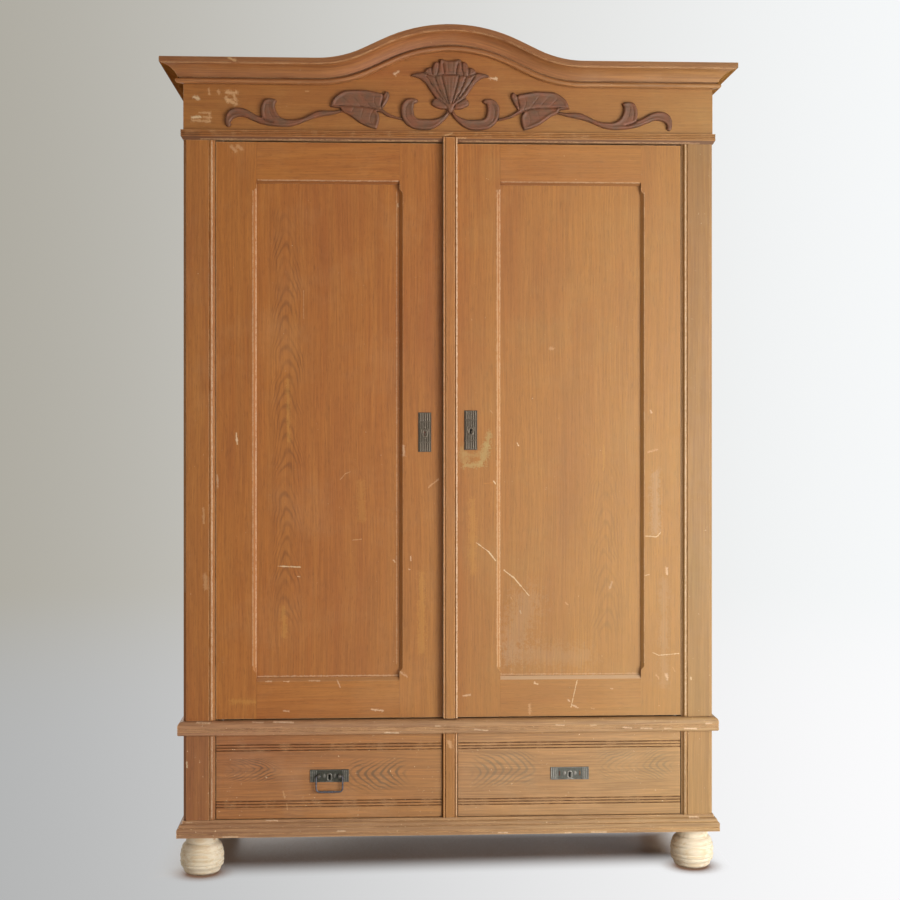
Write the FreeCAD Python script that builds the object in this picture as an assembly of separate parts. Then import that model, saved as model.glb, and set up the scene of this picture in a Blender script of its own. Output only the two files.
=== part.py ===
import FreeCAD, Part
import math
import os

from FreeCAD import Vector

# A knock-down wardrobe of grained pine: base with two drawers on bun feet, posts and sides,
# two framed doors, and a crown unit with an arched moulding and applied carving.
# X runs to the right, Y from front to back, Z up. The origin is on the floor, midway across
# and midway between the crown's front and the back.

# Body
body_width = 1300.0
carcass_depth = 560.0
foot_height = 106.0
base_frame_height = 39.0
drawer_opening_height = 208.0
waist_height = 34.0
cabin_height = 1415.0
head_height = 24.0
frieze_height = 111.5
crown_height = 55.5
crown_projection = 52.0

# Clearances that pieces share
seat_gap = 0.3
running_gap = 0.05
cut_overrun = 5.0

# Bun feet
foot_radius = 54.0
foot_sole_radius = 26.0
foot_neck_radius = 39.5
foot_belly_height = 40.0
foot_shoulder_height = 79.0
foot_groove = 1.5
foot_inset_x = 39.0
foot_inset_y = 62.0
spigot_radius = 14.0
spigot_length = 30.0

# Base frame, sides, back and guides
base_rail_depth = 100.0
base_side_rail_width = 100.0
base_centre_rail_width = 80.0
board_thickness = 20.0
back_thickness = 12.0
guide_height = 20.0
partition_thickness = 18.0

# Corner posts, the same section above and below
post_width = 77.0
post_depth = 40.0
post_chamfer = 7.0
post_moulding_width = 15.0
post_quirk_width = 2.5
post_quirk_depth = 2.5
post_bead_radius = 5.0
post_step_width = 4.0

# Sides of the cabin
side_frame_thickness = 28.0
rear_stile_width = 60.0
side_rail_height = 100.0
side_panel_thickness = 12.0
side_panel_recess = 8.0
side_groove_depth = 8.0

# Drawer stile
divider_width = 36.0
divider_depth = 30.0
bead_radius = 3.0
bead_quirk = 2.0

# Mouldings
waist_projection = 13.0
waist_round_radius = 12.0
waist_bead_radius = 4.0
waist_reed_pitch = 6.0
base_projection = 15.0
base_fascia_height = 18.0
base_lower_ovolo = 5.0
base_ledge = 2.0
base_upper_ovolo = 8.0
head_projection = 6.0
head_splay_height = 9.0
head_lip = 1.0
head_reed_pitch = 4.0
reed_groove_width = 2.4
reed_groove_depth = 1.2

# Crown moulding and its arch
arch_rise = 85.0
arch_slope_degrees = 25.5
crest_radius = 329.5
arch_foot_radius = 315.5
crown_fillet_height = 13.0
crown_fillet_step = 4.0
crown_bead_radius = 6.0
crown_quirk_depth = 3.0
crown_quirk_height = 3.0
crown_block_size = 34.0
crown_block_height = 90.0

# Doors
door_recess = 6.0
door_thickness = 24.0
door_side_gap = 1.5
door_end_gap = 3.0
seam_gap = 2.0
stile_width = 98.5
meeting_stile_width = 105.0
bottom_rail_height = 99.0
top_rail_height = 100.0
panel_recess = 10.0
panel_thickness = 8.0
panel_groove_depth = 10.0
panel_play = 1.0
chamfer_width = 8.0
chamfer_stop_distance = 12.0
chamfer_stop_length = 10.0

# Closing strip on the right door
strip_width = 36.0
strip_thickness = 17.0
strip_lap = 10.0
strip_lap_gap = 1.0
strip_bead_radius = 3.0

# Door pivots
pivot_radius = 4.0
pivot_inset = 15.0
pivot_face_distance = 6.0
pivot_engagement = 10.0
pivot_plate_length = 60.0
pivot_plate_width = 15.0
pivot_plate_thickness = 3.0
pivot_plate_margin = 4.5
pivot_boss_radius = 6.0
pivot_well_gap = 0.6

# Door stops
stop_height = 15.0
stop_depth = 18.0
stop_end_distance = 40.0

# Door plates and lock
escutcheon_width = 32.0
escutcheon_height = 97.0
escutcheon_thickness = 2.5
escutcheon_rim = 3.0
escutcheon_field_depth = 1.0
escutcheon_centre_height = 1095.0
left_escutcheon_drop = 5.0
left_escutcheon_x = -62.0
right_escutcheon_x = 51.0
keyhole_radius = 2.6
keyhole_slot_width = 3.0
keyhole_slot_length = 9.0
lock_case_width = 90.0
lock_case_height = 110.0
lock_case_depth = 12.0
lock_bolt_height = 14.0
lock_bolt_thickness = 8.0
lock_bolt_length = 40.0
lock_bolt_throw = 12.0
mortise_gap = 0.8

# Slide bolts behind the left door
slide_bolt_radius = 4.0
slide_bolt_length = 95.0
slide_bolt_throw = 14.0
slide_bolt_stand_off = 7.0
bolt_plate_thickness = 2.5
bolt_plate_width = 24.0
bolt_plate_length = 105.0
bolt_staple_width = 16.0
bolt_staple_height = 12.0
bolt_knob_radius = 4.0
bolt_knob_length = 14.0

# Drawers
drawer_front_recess = 7.0
drawer_front_thickness = 22.0
drawer_front_gap = 2.0
drawer_front_end_gap = 1.0
drawer_back_gap = 11.0
drawer_side_thickness = 12.0
drawer_side_height = 180.0
drawer_back_drop = 10.0
drawer_bottom_thickness = 6.0
drawer_bottom_height = 12.0
drawer_side_inset = 1.0
drawer_reed_count = 3
drawer_reed_pitch = 7.0
drawer_reed_width = 4.0
drawer_reed_depth = 2.0
drawer_upper_reeds_distance = 34.0
drawer_lower_reeds_distance = 36.0

# Drawer plates, bail and locks
drawer_plate_width = 95.0
drawer_plate_height = 31.0
drawer_plate_thickness = 2.5
plate_slot_distance = 25.0
plate_slot_width = 4.0
plate_slot_height = 12.0
bail_width = 69.0
bail_drop = 40.0
bail_wire_radius = 2.2
bail_corner_radius = 9.0
bail_eye_radius = 4.0
bail_pin_length = 11.0
bail_stand_off = 5.0
ear_thickness = 6.0
ear_radius = 5.0
drawer_lock_width = 44.0
drawer_lock_height = 120.0
drawer_lock_depth = 10.0
drawer_lock_below_keyhole = 24.0
drawer_bolt_width = 14.0
drawer_bolt_thickness = 6.0
drawer_bolt_length = 50.0
drawer_bolt_throw = 8.0

# Cabin fittings
hat_space_height = 224.0
shelf_thickness = 18.0
shelf_front_distance = 70.0
shelf_side_gap = 0.5
cleat_height = 22.0
cleat_width = 30.0
rail_radius = 14.0
rail_centre_below_cleat = 45.0
rail_socket_height = 80.0
rail_socket_width = 60.0
rail_socket_thickness = 24.0
rail_socket_depth = 16.0

# Carving, on the frieze board
carving_thickness = 9.0
flower_half_width = 97.0
flower_height = 124.0
flower_rise = 55.0
leaf_length = 150.0
leaf_height = 96.0
leaf_start = 144.0
leaf_rise = 5.0
inner_scroll_length = 118.5
inner_scroll_height = 78.5
inner_scroll_start = 3.0
inner_scroll_rise = 3.5
outer_scroll_length = 291.0
outer_scroll_height = 70.5
outer_scroll_start = 258.0
outer_scroll_rise = 7.5

# Each row is one stretch of the outline: two points a line, three an arc, more a smooth curve.
flower_shares = [
    [(0, .99), (.12, 1), (.215, .95)],
    [(.215, .95), (.34, .965), (.425, .87)],
    [(.425, .87), (.555, .845), (.62, .725)],
    [(.62, .725), (.785, .7), (1, .645)],
    [(1, .645), (.825, .62), (.68, .53), (.535, .395), (.37, .22)],
    [(.37, .22), (.485, .17), (.525, .065)],
    [(.525, .065), (.39, 0), (.205, .005), (0, .025)],
]
leaf_shares = [
    [(0, .92), (.18, .91), (.47, 1), (.72, .95), (.89, .79), (1, .59)],
    [(1, .59), (.87, .54), (.7, .375), (.57, .19), (.3, .03), (.21, 0)],
    [(.21, 0), (.165, .18), (.16, .365)],
    [(.16, .365), (-.137, .21)],
    [(-.137, .21), (-.137, .27)],
    [(-.137, .27), (.147, .46)],
    [(.147, .46), (.04, .7), (0, .92)],
]
inner_scroll_shares = [
    [(.97, .34), (1, .59), (.955, .8), (.81, 1), (.64, .97)],
    [(.64, .97), (.735, .8), (.717, .485), (.6, .345), (.287, .41), (0, .61)],
    [(0, .61), (0, .47)],
    [(0, .47), (.194, .153), (.523, 0), (.835, .165), (.97, .34)],
]
outer_scroll_shares = [
    [(0, .49), (.1, .58), (.21, .56), (.32, .42), (.44, .28), (.53, .41), (.575, .69), (.565, .915)],
    [(.565, .915), (.62, 1), (.68, .79), (.7, .28)],
    [(.7, .28), (.79, .55), (.885, .65), (.97, .54), (1, .28), (.965, 0)],
    [(.965, 0), (.94, .21), (.88, .31), (.73, .21), (.49, 0), (.33, .085), (.195, .32), (.095, .43),
     (0, .43)],
    [(0, .43), (0, .49)],
]

# Planes and levels worked out from the sizes above
half_width = body_width / 2
back_y = (carcass_depth + crown_projection) / 2
front_y = back_y - carcass_depth
base_z = foot_height
drawer_z = base_z + base_frame_height
waist_z = drawer_z + drawer_opening_height
cabin_z = waist_z + waist_height
head_z = cabin_z + cabin_height
frieze_z = head_z + head_height
crown_z = frieze_z + frieze_height
top_z = crown_z + crown_height
opening_half = half_width - post_width
post_back_y = front_y + post_depth
door_face_y = front_y + door_recess
door_back_y = door_face_y + door_thickness
door_low_z = cabin_z + door_end_gap
door_high_z = head_z - door_end_gap
hinge_edge_x = opening_half - door_side_gap
left_meeting_x = -(strip_width + seam_gap) / 2
right_meeting_x = left_meeting_x + seam_gap
pivot_x = hinge_edge_x - pivot_inset
pivot_y = door_face_y + pivot_face_distance
shelf_z = head_z - hat_space_height - shelf_thickness
cleat_z = shelf_z - cleat_height
rail_z = cleat_z - rail_centre_below_cleat
side_panel_x = half_width - side_panel_recess - side_panel_thickness
side_inner_x = half_width - side_frame_thickness
shelf_half = side_inner_x - shelf_side_gap


def block(x_low, x_high, y_low, y_high, z_low, z_high):
    return Part.makeBox(x_high - x_low, y_high - y_low, z_high - z_low, Vector(x_low, y_low, z_low))


def rod(start, direction, radius, length):
    return Part.makeCylinder(radius, length, start, direction)


def mirrored(shape):
    return shape.mirror(Vector(0, 0, 0), Vector(1, 0, 0))


def pair(shape):
    return [shape, mirrored(shape)]


def outline_edges(stretches, to_space):
    edges = []
    for stretch in stretches:
        points = [to_space(a, b) for a, b in stretch]
        if len(points) == 2:
            edges.append(Part.makeLine(points[0], points[1]))
        elif len(points) == 3:
            edges.append(Part.Arc(points[0], points[1], points[2]).toShape())
        else:
            curve = Part.BSplineCurve()
            curve.interpolate(points)
            edges.append(curve.toShape())
    return edges


def face_of(edges):
    return Part.Face(Part.Wire(Part.__sortEdges__(edges)))


def lines_through(points):
    return [[points[i], points[i + 1]] for i in range(len(points) - 1)]


def rounded(centre, radius, start_degrees, end_degrees):
    # one arc of an outline, as three points
    angles = [start_degrees, (start_degrees + end_degrees) / 2, end_degrees]
    return [(centre[0] + radius * math.cos(math.radians(a)),
             centre[1] + radius * math.sin(math.radians(a))) for a in angles]


def reeded_line(face, low, high, count, pitch):
    # a straight face with V grooves about its middle, from low to high
    points = [(face, low)]
    middle = (low + high) / 2
    for i in range(count):
        groove = middle + (i - (count - 1) / 2) * pitch
        points.append((face, groove - reed_groove_width / 2))
        points.append((face - reed_groove_depth, groove))
        points.append((face, groove + reed_groove_width / 2))
    points.append((face, high))
    return points


def mitre_wedge(reach, low_z, high_z, keep_front):
    # the half of the left corner's square, seen from above, that a mitred piece loses
    corner = Vector(-half_width, front_y, low_z - cut_overrun)
    outer = corner + Vector(-reach, -reach, 0)
    side = corner + (Vector(-reach, 0, 0) if keep_front else Vector(0, -reach, 0))
    triangle = Part.Face(Part.makePolygon([corner, outer, side, corner]))
    return triangle.extrude(Vector(0, 0, high_z - low_z + 2 * cut_overrun))


def mitred_returns(stretches, projection, low_z, high_z):
    # the two side pieces of a moulding, cut back at the front corners
    reach = projection + cut_overrun
    start_y = front_y - reach
    edges = outline_edges(stretches, lambda p, n: Vector(-half_width - p, start_y, low_z + n))
    piece = face_of(edges).extrude(Vector(0, back_y - start_y, 0))
    return pair(piece.cut(mitre_wedge(reach, low_z, high_z, False)))


def mitred_moulding(stretches, projection, low_z, high_z):
    reach = projection + cut_overrun
    start_x = -half_width - reach
    edges = outline_edges(stretches, lambda p, n: Vector(start_x, front_y - p, low_z + n))
    front = face_of(edges).extrude(Vector(-2 * start_x, 0, 0))
    wedge = mitre_wedge(reach, low_z, high_z, True)
    front = front.cut(wedge).cut(mirrored(wedge))
    return [front] + mitred_returns(stretches, projection, low_z, high_z)


def bun_feet():
    groove_low = foot_shoulder_height
    neck = [(foot_neck_radius, groove_low), (foot_neck_radius - foot_groove, groove_low + foot_groove),
            (foot_neck_radius, groove_low + 2 * foot_groove), (foot_neck_radius, foot_height),
            (spigot_radius, foot_height), (spigot_radius, foot_height + spigot_length),
            (0, foot_height + spigot_length), (0, 0), (foot_sole_radius, 0)]
    low_share = .42
    high_share = .56
    low_bulge = foot_sole_radius + (foot_radius - foot_sole_radius) * (1 - low_share ** 3)
    low_bulge = low_bulge - (foot_radius - foot_sole_radius) * low_share / 2
    high_bulge = foot_neck_radius + (foot_radius - foot_neck_radius) * (1 - high_share ** 2)
    high_mid = foot_belly_height + (foot_shoulder_height - foot_belly_height) * high_share
    ball = [[(foot_sole_radius, 0), (low_bulge, foot_belly_height * low_share),
             (foot_radius, foot_belly_height)],
            [(foot_radius, foot_belly_height), (high_bulge, high_mid),
             (foot_neck_radius, foot_shoulder_height)]]
    edges = outline_edges(ball + lines_through(neck), lambda r, z: Vector(r, 0, z))
    foot = face_of(edges).revolve(Vector(0, 0, 0), Vector(0, 0, 1), 360)
    feet = []
    for side in (-1, 1):
        for y in (front_y + foot_inset_y, back_y - foot_inset_y):
            feet.append(foot.translated(Vector(side * (half_width - foot_inset_x), y, 0)))
    return feet


def base_frame():
    inner_front = front_y + base_rail_depth
    inner_back = back_y - base_rail_depth
    side_x = half_width - base_side_rail_width
    centre_x = base_centre_rail_width / 2
    front = block(-half_width, half_width, front_y, inner_front, base_z, drawer_z)
    rear = block(-half_width, half_width, inner_back, back_y, base_z, drawer_z)
    for side in (-1, 1):
        x = side * (half_width - foot_inset_x)
        for y in (front_y + foot_inset_y, back_y - foot_inset_y):
            bore = rod(Vector(x, y, base_z - cut_overrun), Vector(0, 0, 1),
                       spigot_radius + running_gap, spigot_length + cut_overrun)
            front = front.cut(bore)
            rear = rear.cut(bore)
    sides = pair(block(side_x, half_width, inner_front, inner_back, base_z, drawer_z))
    centre = block(-centre_x, centre_x, inner_front, inner_back, base_z, drawer_z)
    return [front, rear, centre] + sides


def post(low_z, high_z):
    # the left post: chamfered outer edge, a quirk and a bead along its inner edge
    flat_end = post_width - post_moulding_width
    bead_start = flat_end + post_quirk_width
    step_x = post_width - post_step_width
    bead_centre = (step_x - post_bead_radius, post_bead_radius)
    section = lines_through([
        (step_x, post_bead_radius), (step_x, door_recess), (post_width, door_recess),
        (post_width, post_depth), (0, post_depth), (0, post_chamfer), (post_chamfer, 0),
        (flat_end, 0), (flat_end + post_quirk_width / 2, post_quirk_depth), (bead_start, 0),
        (bead_centre[0], 0)])
    section.append(rounded(bead_centre, post_bead_radius, -90, 0))
    edges = outline_edges(section, lambda u, v: Vector(-half_width + u, front_y + v, low_z))
    return face_of(edges).extrude(Vector(0, 0, high_z - low_z))


def corner_post():
    # with a groove in its back for the side panel
    groove = block(-half_width + side_panel_recess,
                   -half_width + side_panel_recess + side_panel_thickness,
                   post_back_y - side_groove_depth, post_back_y + cut_overrun,
                   cabin_z + side_rail_height - side_groove_depth,
                   head_z - side_rail_height + side_groove_depth)
    return post(cabin_z, head_z).cut(groove)


def side_frame():
    # rear stile and two rails of the left side, grooved for the panel
    stile_front = back_y - rear_stile_width
    panel_low = cabin_z + side_rail_height
    panel_high = head_z - side_rail_height
    groove = block(-side_panel_x - side_panel_thickness, -side_panel_x,
                   post_back_y, stile_front + side_groove_depth,
                   panel_low - side_groove_depth, panel_high + side_groove_depth)
    rabbet = block(-side_inner_x - back_thickness, -side_inner_x + cut_overrun,
                   back_y - back_thickness, back_y + cut_overrun,
                   cabin_z - cut_overrun, head_z + cut_overrun)
    stile = block(-half_width, -side_inner_x, stile_front, back_y, cabin_z, head_z)
    low = block(-half_width, -side_inner_x, post_back_y, stile_front, cabin_z, panel_low)
    high = block(-half_width, -side_inner_x, post_back_y, stile_front, panel_high, head_z)
    return [stile.cut(groove).cut(rabbet), low.cut(groove), high.cut(groove)]


def side_panel():
    reach = side_groove_depth - panel_play
    return block(-side_panel_x - side_panel_thickness, -side_panel_x,
                 post_back_y - reach, back_y - rear_stile_width + reach,
                 cabin_z + side_rail_height - side_groove_depth,
                 head_z - side_rail_height + reach)


def back_boards():
    half = side_inner_x + back_thickness - panel_play
    return [block(-half, half, back_y - back_thickness, back_y, cabin_z, head_z)]


def beaded_section(half, front, back, radius, quirk):
    # a bar seen end on: a round bead at each front edge, a quirk, and a flat between
    left_in = -half + 2 * radius
    right_in = half - 2 * radius
    bead_y = front + radius
    section = [rounded((side * (half - radius), bead_y), radius, 180, 360) for side in (-1, 1)]
    section += lines_through([(left_in, bead_y), (left_in + quirk, front),
                              (right_in - quirk, front), (right_in, bead_y)])
    section += lines_through([(half, bead_y), (half, back), (-half, back), (-half, bead_y)])
    return section


def drawer_divider():
    half = divider_width / 2
    section = beaded_section(half, 0, divider_depth, bead_radius, bead_quirk)
    edges = outline_edges(section, lambda x, v: Vector(x, front_y + v, drawer_z))
    stile = face_of(edges).extrude(Vector(0, 0, drawer_opening_height))
    thick = partition_thickness / 2
    partition = block(-thick, thick, front_y + divider_depth, back_y - board_thickness,
                      drawer_z, waist_z)
    return [stile, partition]


def drawer_guides():
    low = post_back_y
    high = back_y - board_thickness
    outer = block(opening_half, half_width - board_thickness, low, high,
                  drawer_z, drawer_z + guide_height)
    inner = block(partition_thickness / 2, divider_width / 2, low, high,
                  drawer_z, drawer_z + guide_height)
    return pair(outer) + pair(inner)


def base_sides():
    return pair(block(half_width - board_thickness, half_width, post_back_y, back_y,
                      drawer_z, waist_z))


def base_back():
    half = half_width - board_thickness
    return [block(-half, half, back_y - board_thickness, back_y, drawer_z, waist_z)]


def base_moulding():
    upper_p = base_projection - base_lower_ovolo
    upper_n = base_fascia_height + base_lower_ovolo + base_ledge
    top_p = upper_p - base_upper_ovolo
    section = lines_through([(0, 0)] + reeded_line(base_projection, 0, base_fascia_height, 1,
                                                   waist_reed_pitch))
    section.append(rounded((upper_p, base_fascia_height), base_lower_ovolo, 0, 90))
    section += lines_through([(upper_p, base_fascia_height + base_lower_ovolo), (upper_p, upper_n)])
    section.append(rounded((top_p, upper_n), base_upper_ovolo, 0, 90))
    section += lines_through([(top_p, upper_n + base_upper_ovolo), (top_p, base_frame_height),
                              (0, base_frame_height), (0, 0)])
    return mitred_moulding(section, base_projection, base_z, drawer_z)


def waist_moulding():
    round_n = waist_height - waist_round_radius
    flat_p = waist_projection - waist_round_radius
    bead_p = waist_projection - waist_bead_radius
    section = lines_through([(0, 0), (bead_p, 0)])
    section.append(rounded((bead_p, waist_bead_radius), waist_bead_radius, -90, 0))
    section += lines_through(reeded_line(waist_projection, waist_bead_radius, round_n, 2,
                                         waist_reed_pitch))
    section.append(rounded((flat_p, round_n), waist_round_radius, 0, 90))
    section += lines_through([(flat_p, waist_height), (0, waist_height), (0, 0)])
    return mitred_moulding(section, waist_projection, waist_z, cabin_z)


def under_frieze_moulding():
    section = lines_through([(0, 0), (head_lip, 0)]
                            + reeded_line(head_projection, head_splay_height, head_height, 3,
                                          head_reed_pitch)
                            + [(0, head_height), (0, 0)])
    return mitred_moulding(section, head_projection, head_z, frieze_z)


def arch_edges(offset, end_x):
    # the arched line, at a height above the crown moulding's lower edge
    slope = math.radians(arch_slope_degrees)
    drop = 1 - math.cos(slope)
    straight = (arch_rise - (crest_radius + arch_foot_radius) * drop) / math.sin(slope)
    span = (crest_radius + arch_foot_radius) * math.sin(slope) + straight * math.cos(slope)
    crest = crest_radius + offset
    foot = arch_foot_radius - offset
    line_z = crown_z + offset
    crest_z = crown_z + arch_rise - crest_radius
    foot_z = crown_z + arch_foot_radius

    def on_crest(angle):
        return Vector(crest * math.sin(angle), front_y, crest_z + crest * math.cos(angle))

    def on_foot(side, angle):
        return Vector(side * (span - foot * math.sin(angle)), front_y,
                      foot_z - foot * math.cos(angle))

    edges = [Part.makeLine(Vector(-end_x, front_y, line_z), on_foot(-1, 0))]
    edges.append(Part.Arc(on_foot(-1, 0), on_foot(-1, slope / 2), on_foot(-1, slope)).toShape())
    edges.append(Part.makeLine(on_foot(-1, slope), on_crest(-slope)))
    edges.append(Part.Arc(on_crest(-slope), on_crest(0), on_crest(slope)).toShape())
    edges.append(Part.makeLine(on_crest(slope), on_foot(1, slope)))
    edges.append(Part.Arc(on_foot(1, slope), on_foot(1, slope / 2), on_foot(1, 0)).toShape())
    edges.append(Part.makeLine(on_foot(1, 0), Vector(end_x, front_y, line_z)))
    return edges


def crown_section():
    # bead, quirk, large cove, step and top fillet, from the lower edge up
    bead_p = 2 * crown_bead_radius
    bead_top = 2 * crown_bead_radius
    quirk_p = bead_p - crown_quirk_depth
    cove_n = bead_top + crown_quirk_height
    step_n = crown_height - crown_fillet_height
    cove_top_p = crown_projection - 2 * crown_fillet_step
    cove_top_n = step_n - crown_fillet_step / 2
    chord = math.hypot(cove_top_p - bead_p, cove_top_n - cove_n)
    sag = chord / 8
    middle = ((bead_p + cove_top_p) / 2 - sag * (cove_top_n - cove_n) / chord,
              (cove_n + cove_top_n) / 2 + sag * (cove_top_p - bead_p) / chord)
    section = lines_through([(0, 0), (bead_p, 0)])
    section.append(rounded((bead_p, crown_bead_radius), crown_bead_radius, -90, 90))
    section += lines_through([(bead_p, bead_top), (quirk_p, bead_top), (quirk_p, cove_n),
                              (bead_p, cove_n)])
    section.append([(bead_p, cove_n), middle, (cove_top_p, cove_top_n)])
    section += lines_through([(cove_top_p, cove_top_n), (crown_projection - crown_fillet_step, cove_top_n),
                              (crown_projection - crown_fillet_step, step_n),
                              (crown_projection, step_n), (crown_projection, crown_height),
                              (0, crown_height), (0, 0)])
    return section


def crown_moulding():
    # the arched front, swept along the arch and mitred at both ends
    reach = crown_projection + cut_overrun
    end_x = half_width + reach
    path = Part.Wire(arch_edges(0, end_x))
    edges = outline_edges(crown_section(), lambda p, n: Vector(-end_x, front_y - p, crown_z + n))
    sweep = Part.BRepOffsetAPI.MakePipeShell(path)
    sweep.setBiNormalMode(Vector(0, 1, 0))
    sweep.add(Part.Wire(Part.__sortEdges__(edges)))
    sweep.build()
    sweep.makeSolid()
    front = sweep.shape()
    wedge = mitre_wedge(reach, crown_z, top_z, True)
    return [front.cut(wedge).cut(mirrored(wedge))]


def crown_returns():
    return mitred_returns(crown_section(), crown_projection, crown_z, top_z)


def frieze_board():
    sides = [Part.makeLine(Vector(-half_width, front_y, top_z), Vector(-half_width, front_y, frieze_z)),
             Part.makeLine(Vector(-half_width, front_y, frieze_z), Vector(half_width, front_y, frieze_z)),
             Part.makeLine(Vector(half_width, front_y, frieze_z), Vector(half_width, front_y, top_z))]
    face = face_of(arch_edges(crown_height, half_width) + sides)
    return [face.extrude(Vector(0, board_thickness, 0))]


def crown_box():
    low_y = front_y + board_thickness
    ends = pair(block(half_width - board_thickness, half_width, low_y, back_y, frieze_z, top_z))
    half = half_width - board_thickness
    return ends + [block(-half, half, back_y - board_thickness, back_y, frieze_z, top_z)]


def crown_blocks():
    # three-cornered glue blocks inside the crown's four corners
    blocks = []
    inner_x = half_width - board_thickness
    for y, way in ((front_y + board_thickness, 1), (back_y - board_thickness, -1)):
        corner = Vector(inner_x, y, frieze_z)
        along = corner + Vector(-crown_block_size, 0, 0)
        back = corner + Vector(0, way * crown_block_size, 0)
        triangle = Part.Face(Part.makePolygon([corner, along, back, corner]))
        blocks += pair(triangle.extrude(Vector(0, 0, crown_block_height)))
    return blocks


def carved(shares, start, length, rise, height):
    def to_space(a, b):
        return Vector(start + a * length, front_y - carving_thickness, frieze_z + rise + b * height)
    return outline_edges(shares, to_space)


def carved_piece(shares, start, length, rise, height):
    face = face_of(carved(shares, start, length, rise, height))
    return face.extrude(Vector(0, carving_thickness, 0))


def carved_flower():
    half = carved(flower_shares, 0, flower_half_width, flower_rise, flower_height)
    edges = half + [mirrored(edge) for edge in half]
    return [face_of(edges).extrude(Vector(0, carving_thickness, 0))]


def pivot_plate(low_z, margin_side):
    # the plate about the left door's axis; its length runs away from the post
    x = -pivot_x - pivot_inset + margin_side
    y = pivot_y - pivot_plate_margin
    return block(x, x + pivot_plate_length, y, y + pivot_plate_width,
                 low_z, low_z + pivot_plate_thickness)


def door_pivots():
    # plates let into the left door's ends, each with its pin
    low = pivot_plate(door_low_z, pivot_plate_margin)
    high = pivot_plate(door_high_z - pivot_plate_thickness, pivot_plate_margin)
    length = door_end_gap + pivot_engagement
    low_pin = rod(Vector(-pivot_x, pivot_y, door_low_z), Vector(0, 0, -1), pivot_radius, length)
    high_pin = rod(Vector(-pivot_x, pivot_y, door_high_z), Vector(0, 0, 1), pivot_radius, length)
    return [low.fuse(low_pin), high.fuse(high_pin)]


def carcass_pivot_plates():
    # plates let into the waist board and the head board; the lower one has a boss
    bore_low = rod(Vector(-pivot_x, pivot_y, cabin_z - pivot_plate_thickness - cut_overrun),
                   Vector(0, 0, 1), pivot_radius + running_gap,
                   pivot_plate_thickness + door_end_gap + 2 * cut_overrun)
    boss = rod(Vector(-pivot_x, pivot_y, cabin_z), Vector(0, 0, 1), pivot_boss_radius,
               door_end_gap - seat_gap)
    low = pivot_plate(cabin_z - pivot_plate_thickness, pivot_plate_margin).fuse(boss).cut(bore_low)
    bore_high = bore_low.translated(Vector(0, 0, head_z - cabin_z))
    high = pivot_plate(head_z, pivot_plate_margin).cut(bore_high)
    return pair(low) + pair(high)


def pivot_well(level_z, way):
    # blind hole that clears the pin's end, behind a plate
    return rod(Vector(-pivot_x, pivot_y, level_z), Vector(0, 0, way),
               pivot_radius + pivot_well_gap, pivot_engagement + pivot_plate_thickness)


def waist_board():
    board = block(-half_width, half_width, front_y, back_y, waist_z, cabin_z)
    plate = pivot_plate(cabin_z - pivot_plate_thickness, pivot_plate_margin)
    cuts = pair(plate) + pair(pivot_well(cabin_z, -1))
    cuts.append(rod(Vector(bolt_x, bolt_y, cabin_z + cut_overrun), Vector(0, 0, -1),
                    slide_bolt_radius + mortise_gap, slide_bolt_throw + cut_overrun))
    for side in (-1, 1):
        cuts.append(drawer_bolt_at(side, mortise_gap, waist_z - cut_overrun,
                                   waist_z + drawer_bolt_throw + mortise_gap))
    for cut in cuts:
        board = board.cut(cut)
    return [board]


def head_board():
    board = block(-half_width, half_width, front_y, back_y, head_z, frieze_z)
    cuts = pair(pivot_plate(head_z, pivot_plate_margin)) + pair(pivot_well(head_z, 1))
    cuts.append(rod(Vector(bolt_x, bolt_y, head_z - cut_overrun), Vector(0, 0, 1),
                    slide_bolt_radius + mortise_gap, slide_bolt_throw + cut_overrun))
    for cut in cuts:
        board = board.cut(cut)
    return [board]


def door_stops():
    # strips behind the doors' ends, clear of the swinging hinge edge and of the slide bolts
    end_x = opening_half - stop_end_distance
    inner_left = left_meeting_x - meeting_stile_width - stop_height
    inner_right = strip_width
    low_y = door_back_y + seat_gap
    stops = []
    for x_low, x_high in ((-end_x, inner_left), (inner_right, end_x)):
        for z in (cabin_z, head_z - stop_height):
            stops.append(block(x_low, x_high, low_y, low_y + stop_depth, z, z + stop_height))
    return stops


def chamfer_cutter(start, end, into_wood):
    # cuts a chamfer that slopes up to nothing at each end
    run = (end - start).normalize()
    depth = Vector(0, 1, 0)
    length = (end - start).Length
    rings = []
    for distance, width in ((0, 0), (chamfer_stop_length, chamfer_width),
                            (length - chamfer_stop_length, chamfer_width), (length, 0)):
        origin = start + run * distance
        rings.append([origin + into_wood * (width + cut_overrun) - depth * cut_overrun,
                      origin - into_wood * cut_overrun + depth * (width + cut_overrun),
                      origin - into_wood * cut_overrun - depth * cut_overrun])
    outlines = [rings[0], rings[-1]]
    for near, far in zip(rings, rings[1:]):
        for i in range(len(near)):
            outlines.append([near[i], near[i - 1], far[i - 1], far[i]])
    faces = [Part.Face(Part.makePolygon(points + points[:1])) for points in outlines]
    solid = Part.Solid(Part.Shell(faces))
    if solid.Volume < 0:
        solid.reverse()
    return solid


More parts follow.
